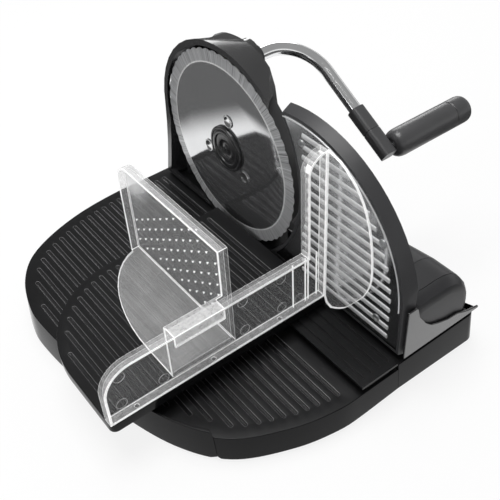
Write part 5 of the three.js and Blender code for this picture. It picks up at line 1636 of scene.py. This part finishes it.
@dataclass
class Carriage(Maker):
    """The sliding food carriage with its clear wall, shield and pusher."""

    left: float = -221.0
    right: float = -4.0
    near: float = -141.5
    far: float = 20.0
    top: float = -80.0
    bottom: float = -90.0
    sweep: float = 95.0
    corner: float = 6.0
    wall_thickness: float = 2.5
    room: float = -83.2
    grooves: int = 22
    first_groove: float = -12.0
    pitch: float = 9.45
    groove_start: float = -135.5
    rim: float = 8.0
    clear_edge: float = 0.45
    edge_width: float = 2.5
    band_width: float = 10.5
    mark_radius: float = 4.8
    mark_wire: float = 0.2
    mark_facets: int = 36
    wire_facets: int = 6
    marks: tuple[Flat, ...] = (
        (-203.0, -41.0), (-205.5, -70.4), (-167.0, -70.9), (-87.0, -38.0), (-86.7, -70.8),
        (-47.0, -37.5), (-47.0, -70.6), (-28.0, -72.2),
    )
    panel_face: float = -134.6
    wall_ribs: tuple[float, ...] = (-35.0, -21.4, -18.3, -9.0)
    wall_rib_half: float = 0.4
    wall_rib_root: float = 0.3
    wall_rib_rise: float = 1.2
    wall_rib_ends: Flat = (-79.2, -29.0)
    floor_top: float = -76.5
    clip_far: float = -133.0
    spike_face: float = -95.0
    shave: float = 0.02
    spike_radius: float = 1.1
    spike_facets: int = 12
    spike_tip: float = 0.25
    spike_root: float = 0.1
    spike_height: float = 1.6
    spike_columns: int = 12
    spike_rows: int = 9
    spike_step: Flat = (-11.7, 7.7)
    spike_drop: float = 11.8
    spike_start: Flat = (17.0, -44.4)
    spike_heights: Flat = (-76.0, 14.5)
    spike_corner: float = 107.0

    def build(self) -> None:
        """Makes the carriage's pieces."""
        done = self.finishes
        self.table()
        slot = "clear_plastic"
        # Rounded edges take the edge finish, painted glow included.
        edge = Rounding(self.clear_edge, finish=Clear.EDGE.value)
        wall = (done.clear, done.clear_edge, done.clear_band)
        pusher = (done.clear_plate, done.clear_edge, done.clear_band, done.clear_floor, done.clear_clip)
        for node, name in (("carriage_wall", "clear_wall"), ("thumb_shield", "clear_shield")):
            self.cast(node, name, Body.CARRIAGE, slot, wall, edge, choose=self.wall_part)
        shave = Shave(self.spike_face - self.shave, 1)
        part = self.pusher_part
        self.cast("food_pusher", "pusher_moulding", Body.PUSHER, slot, pusher, edge, shave, part)
        self.marks_and_ribs()
        self.spikes()

    def wall_part(self, face: Face) -> int:
        """The clear finish of a face of the wall or the shield, by how narrow it is.

        Args:
            face: the face.

        Returns:
            The number of the finish.
        """
        width = strip_width(face)
        if width < self.edge_width:
            return Clear.EDGE.value
        return Clear.BAND.value if width < self.band_width else Clear.PANEL.value

    def pusher_part(self, face: Face) -> int:
        """The clear finish of a face of the pusher, by its width and its place.

        Args:
            face: the face.

        Returns:
            The number of the finish.
        """
        part = self.wall_part(face)
        spot = DATUM.matrix().inverted() @ face.calc_center_median()
        if part == Clear.EDGE.value:
            return part
        if spot.y < self.clip_far:
            return Clear.CLIP.value
        return Clear.FLOOR.value if spot.z < self.floor_top and abs(face.normal.z) > 0.9 else part

    def marks_and_ribs(self) -> None:
        """Sets the round ejector marks on the wall with Geometry Nodes, and its small upright ribs."""
        done = self.finishes
        bench = Bench("ejector_marks")
        radius = bench.size("Mark radius", self.mark_radius)
        thick = bench.size("Line radius", self.mark_wire)
        path = bench.geo("CurvePrimitiveCircle", resolution=self.mark_facets, radius=radius)
        line = bench.geo("CurvePrimitiveCircle", resolution=self.wire_facets, radius=thick)
        ring = bench.geo("CurveToMesh", curve=path, profile_curve=line)
        stood_up = bench.geo("Transform", geometry=ring, rotation=(math.pi / 2, 0, 0))
        last = bench.geo("InstanceOnPoints", points=bench.start, instance=stood_up)
        start = Form()
        start.ring((x, self.panel_face, z) for x, z in self.marks)
        piece = bench.build("wall_marks", last, done.clear_clip, start)
        self.hand_over(piece, Body.CARRIAGE, "clear_plastic", ())
        low, high = self.wall_rib_ends
        form = Form()
        near, far = self.panel_face - self.wall_rib_rise, self.panel_face + self.wall_rib_root
        for place in self.wall_ribs:
            corners = box_outline(place - self.wall_rib_half, place + self.wall_rib_half, near, far)
            form.slab(corners, [(low, 0.0), (high, 0.0)])
        piece = Rounding(0.3).apply(form.piece("wall_ribs"))
        # The ribs take the edge finish, painted glow included.
        self.hand_over(piece, Body.CARRIAGE, "clear_plastic", (done.clear_edge,))

    def spikes(self) -> None:
        """Sets the rows of spikes on the pusher's plate with a Geometry Nodes tree."""
        bench = Bench("spike_rows")
        rows = bench.size("Rows", self.spike_rows)
        columns = bench.size("Spikes in a row", self.spike_columns)
        steps = zip(("Step along", "Step up"), self.spike_step)
        along, rise = (bench.size(name, step) for name, step in steps)
        drop = bench.size("Row pitch", self.spike_drop)
        heights = zip(("Lowest", "Highest"), self.spike_heights)
        lowest, highest = (bench.size(name, height) for name, height in heights)
        corner = bench.size("Corner", self.spike_corner)
        radius = bench.size("Spike radius", self.spike_radius)
        height = bench.size("Spike height", self.spike_height)
        sizes = {"radius_top": self.spike_tip, "radius_bottom": radius, "depth": height}
        cone = bench.geo("MeshCone", vertices=self.spike_facets, **sizes)
        lying = bench.geo("Transform", geometry=cone, rotation=(0, math.pi / 2, 0))
        row = bench.geo("MeshLine", count=columns, offset=bench.joined(0.0, along, rise))
        spot = (self.spike_face - self.spike_root, *self.spike_start)
        fall = bench.joined(0.0, 0.0, drop * -1.0)
        stack = bench.geo("MeshLine", count=rows, start_location=spot, offset=fall)
        lattice = bench.geo("InstanceOnPoints", points=stack, instance=row)
        points = bench.geo("RealizeInstances", geometry=lattice)
        _, across, up = bench.split(bench.geo("InputPosition"))
        inside = up.maths("GREATER_THAN", lowest) * up.maths("LESS_THAN", highest)
        outside = 1.0 - inside * (up - across).maths("LESS_THAN", corner)
        kept = bench.geo("DeleteGeometry", geometry=points, selection=outside)
        last = bench.geo("InstanceOnPoints", points=kept, instance=lying)
        # The spikes take the edge finish, painted glow included.
        piece = bench.build("pusher_spikes", last, self.finishes.clear_edge)
        self.hand_over(piece, Body.PUSHER, "clear_plastic", ())

    def table(self) -> None:
        """Draws the sliding table as one closed moulding with its grooves."""
        sweep_centre = (self.left + self.sweep, self.far - self.sweep)
        near_centre = (self.left + self.corner, self.near + self.corner)
        outline = [
            (self.right, self.near), (self.right, self.far), *arc(sweep_centre, self.sweep, 90, 180, 40),
            *arc(near_centre, self.corner, 180, 270, 6),
        ]
        low, wall = self.bottom, self.wall_thickness
        stations = ((0.0, low + 0.5), (0.4, low), (wall, low), (wall, self.room))
        levels = [[(*point, height) for point in drawn_in(outline, draw)] for draw, height in stations]
        field_outline = drawn_in(outline, self.rim)
        grooves = []
        for place in spread(self.grooves, self.first_groove, -self.pitch):
            span = span_at(field_outline, place)
            if span is not None and span[1] - self.groove_start > self.pitch:
                grooves.append((place, (self.groove_start, span[1])))
        form = Form()
        GroovedDeck().mould(form, outline, self.top, levels, grooves)
        piece = smoothed(form.piece("sliding_table"), SHARP_MOULDED)
        self.hand_over(piece, Body.CARRIAGE, "black_plastic", self.finishes.grooved, "carriage_table")


@dataclass
class StopPlate(Maker):
    """The stop plate: frame, ribbed sheet, screws, carrier, and the housing with its knob."""

    arch: Flat = (-103.0, -42.0)
    radius: float = 122.0
    hollow: Flat = (25.0, 5.0)
    hollow_radius: float = 124.5
    border: float = 3.0
    sheet_front: float = 2.1
    shave: float = 0.02
    rib_ends: tuple[float, ...] = (0.0, 0.06, 0.2, 0.45, 0.75, 1.0)
    rib_root: float = 0.25
    rib_facets: int = 20
    bead_steps: int = 60
    screw_facets: int = 36
    thinnest: float = 0.04
    screw_head: tuple[Flat, ...] = (
        (0.0, 0.0), (0.0, 3.7), (0.25, 4.0), (0.6, 3.85), (0.85, 3.3), (0.95, 2.2), (0.7, 2.0), (0.7, 0.0),
    )
    ribs: int = 15
    rib_width: float = 5.0
    rib_height: float = 0.9
    first_rib: float = 66.5
    rib_pitch: float = 10.3
    rib_margins: Flat = (11.0, 8.0)
    rib_far: float = -104.0
    bead_inset: float = 1.6
    bead_radius: float = 0.6
    bead_tip: float = -80.0
    screw_places: tuple[Flat, ...] = ((-103.0, 57.9), (-198.2, 16.6), (-197.6, -66.3))

    def build(self) -> None:
        """Makes the stop plate's pieces."""
        done = self.finishes
        body, black = Body.STOP_PLATE, "satin_black_plastic"
        seam, thin_seam = Rounding(0.5, 2, 28.0), Rounding(0.4, 2, 28.0)
        cut = Shave(self.sheet_front + self.shave, -1)
        casts = (
            ("stop_plate_frame", "plate_frame", body, black, done.frame, Rounding(0.8, 3)),
            ("stop_plate_carrier", "carrier", body, "gloss_black_plastic", done.gloss, Rounding(0.6)),
            ("housing_near_cap", "housing_cap", body, black, done.satin, seam),
            ("adjuster_housing", "housing_middle", body, black, done.satin, thin_seam),
            ("housing_rear_cover", "housing_rear", body, black, done.satin, seam),
            ("thickness_knob", "knob_cap", Body.KNOB, black, done.satin, Rounding(0.6, 3)),
            ("stop_plate_sheet", "bright_sheet", body, "plate_steel", done.sheet, Rounding(0.2), cut),
        )
        for item in casts:
            self.cast(*item)
        ribs = []
        for z in spread(self.ribs, self.first_rib, -self.rib_pitch):
            near, far = self.rib_span(z)
            ribs.append([(y, z) for y in self.stations(near, far)])
        self.bars("sheet_ribs", ribs, self.rib_width / 2, self.rib_height)
        inner = self.radius - self.border - self.bead_inset
        tip = math.degrees(math.acos((self.bead_tip - self.arch[0]) / inner))
        bead = arc(self.arch, inner, 180, tip, self.bead_steps)
        self.bars("sheet_bead", [bead], self.bead_radius, self.bead_radius)
        self.screws()

    def rib_span(self, z: float) -> Flat:
        """Where a rib starts and ends along Y.

        Args:
            z: the rib's height.

        Returns:
            Its two ends.
        """
        inner, hollow = self.radius - self.border, self.hollow_radius + self.border
        rise = max(z - self.arch[1], 0.0)
        near = self.arch[0] - math.sqrt(inner ** 2 - rise ** 2) + self.rib_margins[0]
        far = self.hollow[0] - math.sqrt(hollow ** 2 - (z - self.hollow[1]) ** 2) - self.rib_margins[1]
        return near, min(far, self.rib_far)

    def stations(self, near: float, far: float) -> list[float]:
        """Places along a rib, closer together at its round ends."""
        ends = [share * self.rib_width / 2 for share in self.rib_ends]
        return [*[near + end for end in ends], *[far - end for end in reversed(ends)]]

    def bars(self, name: str, lines: list[Outline], half: float, rise: float) -> None:
        """Sweeps raised bars with round ends along lines on the sheet with a Geometry Nodes tree.

        Args:
            name: name of the piece.
            lines: the lines, in Y and Z.
            half: half the width of a bar.
            rise: how far it stands out.
        """
        form = Form()
        for line in lines:
            form.edges((self.sheet_front, y, z) for y, z in line)
        bench = Bench(name)
        wide = bench.size("Half width", half)
        lifted = bench.size("Rise share", rise / half)
        front = bench.size("Sheet front", self.sheet_front)
        facets = bench.size("Facets", self.rib_facets)
        curve = bench.geo("MeshToCurve", mesh=bench.start)
        run = bench.geo("SplineParameter", "Length")
        whole = bench.geo("SplineLength", "Length")
        share = ((whole - run).maths("MINIMUM", run) / wide).maths("MINIMUM", 1.0)
        taper = (1.0 - (1.0 - share) ** 2.0).maths("SQRT").maths("MAXIMUM", self.thinnest)
        thick = bench.geo("SetCurveRadius", curve=curve, radius=taper)
        ring = bench.geo("CurvePrimitiveCircle", resolution=facets, radius=wide)
        tube = bench.geo("CurveToMesh", curve=thick, profile_curve=ring, fill_caps=True)
        out = bench.split(bench.geo("InputPosition"))[0] - front
        sunk = bench.joined((out * lifted).maths("MINIMUM", self.rib_root) - out)
        last = bench.geo("SetPosition", geometry=tube, offset=sunk)
        piece = bench.build(name, last, self.finishes.rib, form)
        self.hand_over(smoothed(piece, SHARP_SWEPT), Body.STOP_PLATE, "plate_steel", ())

    def screws(self) -> None:
        """Sets the three flat screws of the sheet with a Geometry Nodes tree."""
        profile = [(self.sheet_front - rise, reach) for rise, reach in self.screw_head]
        form = Form().turn(profile, self.screw_facets)
        bench = Bench("plate_screw_set")
        joined = bench.node("GeometryNodeJoinGeometry")
        for spot in self.screw_places:
            moved = bench.geo("Transform", geometry=bench.start, translation=(0.0, *spot))
            bench.tree.links.new(moved.socket, joined.inputs[0])
        piece = bench.build("plate_screws", Wire(bench, joined.outputs[0]), self.finishes.zinc, form)
        nodes = [f"stop_plate_screw_{i}" for i in (1, 2, 3)]
        self.hand_over(piece, Body.STOP_PLATE, "zinc_steel", (), *nodes)


@dataclass(frozen=True)
class Lamp:
    """A soft box: its place and size in metres, its power, and what it looks at."""

    name: str
    place: Point
    size: Flat
    power: float
    target: Point = (0.0, 0.0, 0.08)

    def hang(self) -> Piece:
        """Puts the lamp in the scene."""
        data = bpy.data.lights.new(self.name, "AREA")
        data.shape = "RECTANGLE"
        data.size, data.size_y = self.size
        data.energy = self.power
        lamp = bpy.data.objects.new(self.name, data)
        lamp.location = self.place
        way = Vector(self.target) - Vector(self.place)
        lamp.rotation_euler = way.to_track_quat("-Z", "Y").to_euler()
        bpy.context.scene.collection.objects.link(lamp)
        return lamp


@dataclass
class Studio:
    """The plain pale room: floor, world and soft lamps."""

    floor_half: float = 6.0
    world_grey: float = 0.32
    horizon: Flat = (0.05, 0.42)
    floor_tone: float = 0.92
    floor_white: float = 0.84
    floor_reach: Flat = (0.25, 0.32)
    far_grey: float = 0.13
    lamps: tuple[Lamp, ...] = (
        Lamp("top_box", (-0.05, 0.25, 1.8), (1.2, 0.9), 24.0),
        Lamp("left_box", (-1.6, 0.5, 0.7), (0.9, 0.7), 6.0),
        Lamp("right_back_box", (1.2, 1.4, 0.6), (0.8, 0.5), 5.0),
    )

    def build(self) -> None:
        """Lays the floor, sets the world and hangs the lamps."""
        self.floor()
        self.world()
        for lamp in self.lamps:
            lamp.hang()

    def floor(self) -> None:
        """Lays a pale floor that shows white and keeps the object's shadow."""
        half = self.floor_half
        mesh = bmesh.new()
        mesh.faces.new([mesh.verts.new((*point, 0.0)) for point in box_outline(-half, half, -half, half)])
        data = bpy.data.meshes.new("floor")
        mesh.to_mesh(data)
        mesh.free()
        floor = linked("floor", data)
        paint = Paint("floor_paint")
        paint.put(base_color=(*grey(self.floor_tone), 1.0), roughness=0.9, specular_ior_level=0.1)
        tones = [(*grey(tone), 1.0) for tone in (1.0, self.far_grey)]
        glow, dim = (paint.wire("ShaderNodeEmission", {"Color": tone}) for tone in tones)
        path = paint.node("ShaderNodeLightPath")
        names = ("Is Camera Ray", "Is Transmission Ray", "Is Glossy Ray")
        camera, through, mirrored = (Wire(paint, path.outputs[name]) for name in names)
        seen = camera.maths("MAXIMUM", through).maths("MAXIMUM", mirrored)
        shader = Wire(paint, paint.shader.outputs[0])
        lit = paint.wire("ShaderNodeMixShader", {0: seen * self.floor_white, 1: shader, 2: glow})
        far = mirrored * paint.vector("LENGTH", paint.place).between(*self.floor_reach)
        last = paint.wire("ShaderNodeMixShader", {0: far, 1: lit, 2: dim})
        paint.tree.links.new(last.socket, paint.tree.nodes["Material Output"].inputs[0])
        data.materials.append(paint.material)

    def world(self) -> None:
        """Sets a grey world that the camera sees as white."""
        world = bpy.data.worlds.new("studio_air")
        world.use_nodes = True
        kit = Kit(world.node_tree)
        path = kit.wire("ShaderNodeLightPath", output="Is Camera Ray")
        way = kit.wire("ShaderNodeTexCoord", output="Generated")
        air = 1.0 - kit.split(way)[2].between(*self.horizon) * (1.0 - self.world_grey)
        light = path.maths("MAXIMUM", air)
        background = world.node_tree.nodes["Background"]
        background.inputs["Color"].default_value = (1, 1, 1, 1)
        world.node_tree.links.new(light.socket, background.inputs["Strength"])
        bpy.context.scene.world = world


@dataclass(frozen=True)
class Viewpoint:
    """The camera, at the photograph's angle, in metres and degrees."""

    place: Point = (-0.3225, -0.4560, 0.5581)
    turn: float = -35.058
    height: float = 42.435
    roll: float = -3.667
    lens: float = 57.98
    sensor: float = 36.0

    def aim(self) -> Piece:
        """Creates the camera and makes it the scene's."""
        turn, height, roll = (math.radians(v) for v in (self.turn, self.height, self.roll))
        level = math.cos(height)
        back = Vector((math.sin(turn) * level, -math.cos(turn) * level, math.sin(height)))
        right = (-back).cross(Vector((0, 0, 1))).normalized()
        up = right.cross(-back)
        leaned_right = math.cos(roll) * right + math.sin(roll) * up
        leaned_up = math.cos(roll) * up - math.sin(roll) * right
        data = bpy.data.cameras.new("camera")
        data.lens = self.lens
        data.sensor_width = self.sensor
        data.clip_start = 0.01
        camera = bpy.data.objects.new("camera", data)
        basis = Matrix((leaned_right, leaned_up, back)).transposed().to_4x4()
        camera.matrix_world = Matrix.Translation(self.place) @ basis
        bpy.context.scene.collection.objects.link(camera)
        bpy.context.scene.camera = camera
        return camera


def dress_packed(finishes: Finishes, slots: dict[str, str]) -> None:
    """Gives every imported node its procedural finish.

    Args:
        finishes: the finishes.
        slots: material slot of each node.
    """
    for name, node in frame["nodes"].items():
        node.data.materials.clear()
        node.data.materials.append(mixed(finishes.by_slot(slots[name])))


def main() -> None:
    """Builds the slicer, its studio and its camera."""
    logging.basicConfig(level=logging.INFO, format="%(name)s %(message)s")
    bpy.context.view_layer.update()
    bpy.context.scene.view_settings.view_transform = "Standard"
    finishes = Finishes()
    slots = {part["node"]: part["material_slot"] for part in frame["record"]["subparts"]}
    dress_packed(finishes, slots)
    for maker in (Base, Blade, Crank, Carriage, StopPlate):
        maker(finishes).build()
        LOG.info("%s is built", maker.__name__)
    Studio().build()
    Viewpoint().aim()


if __name__ == "__main__":
    main()
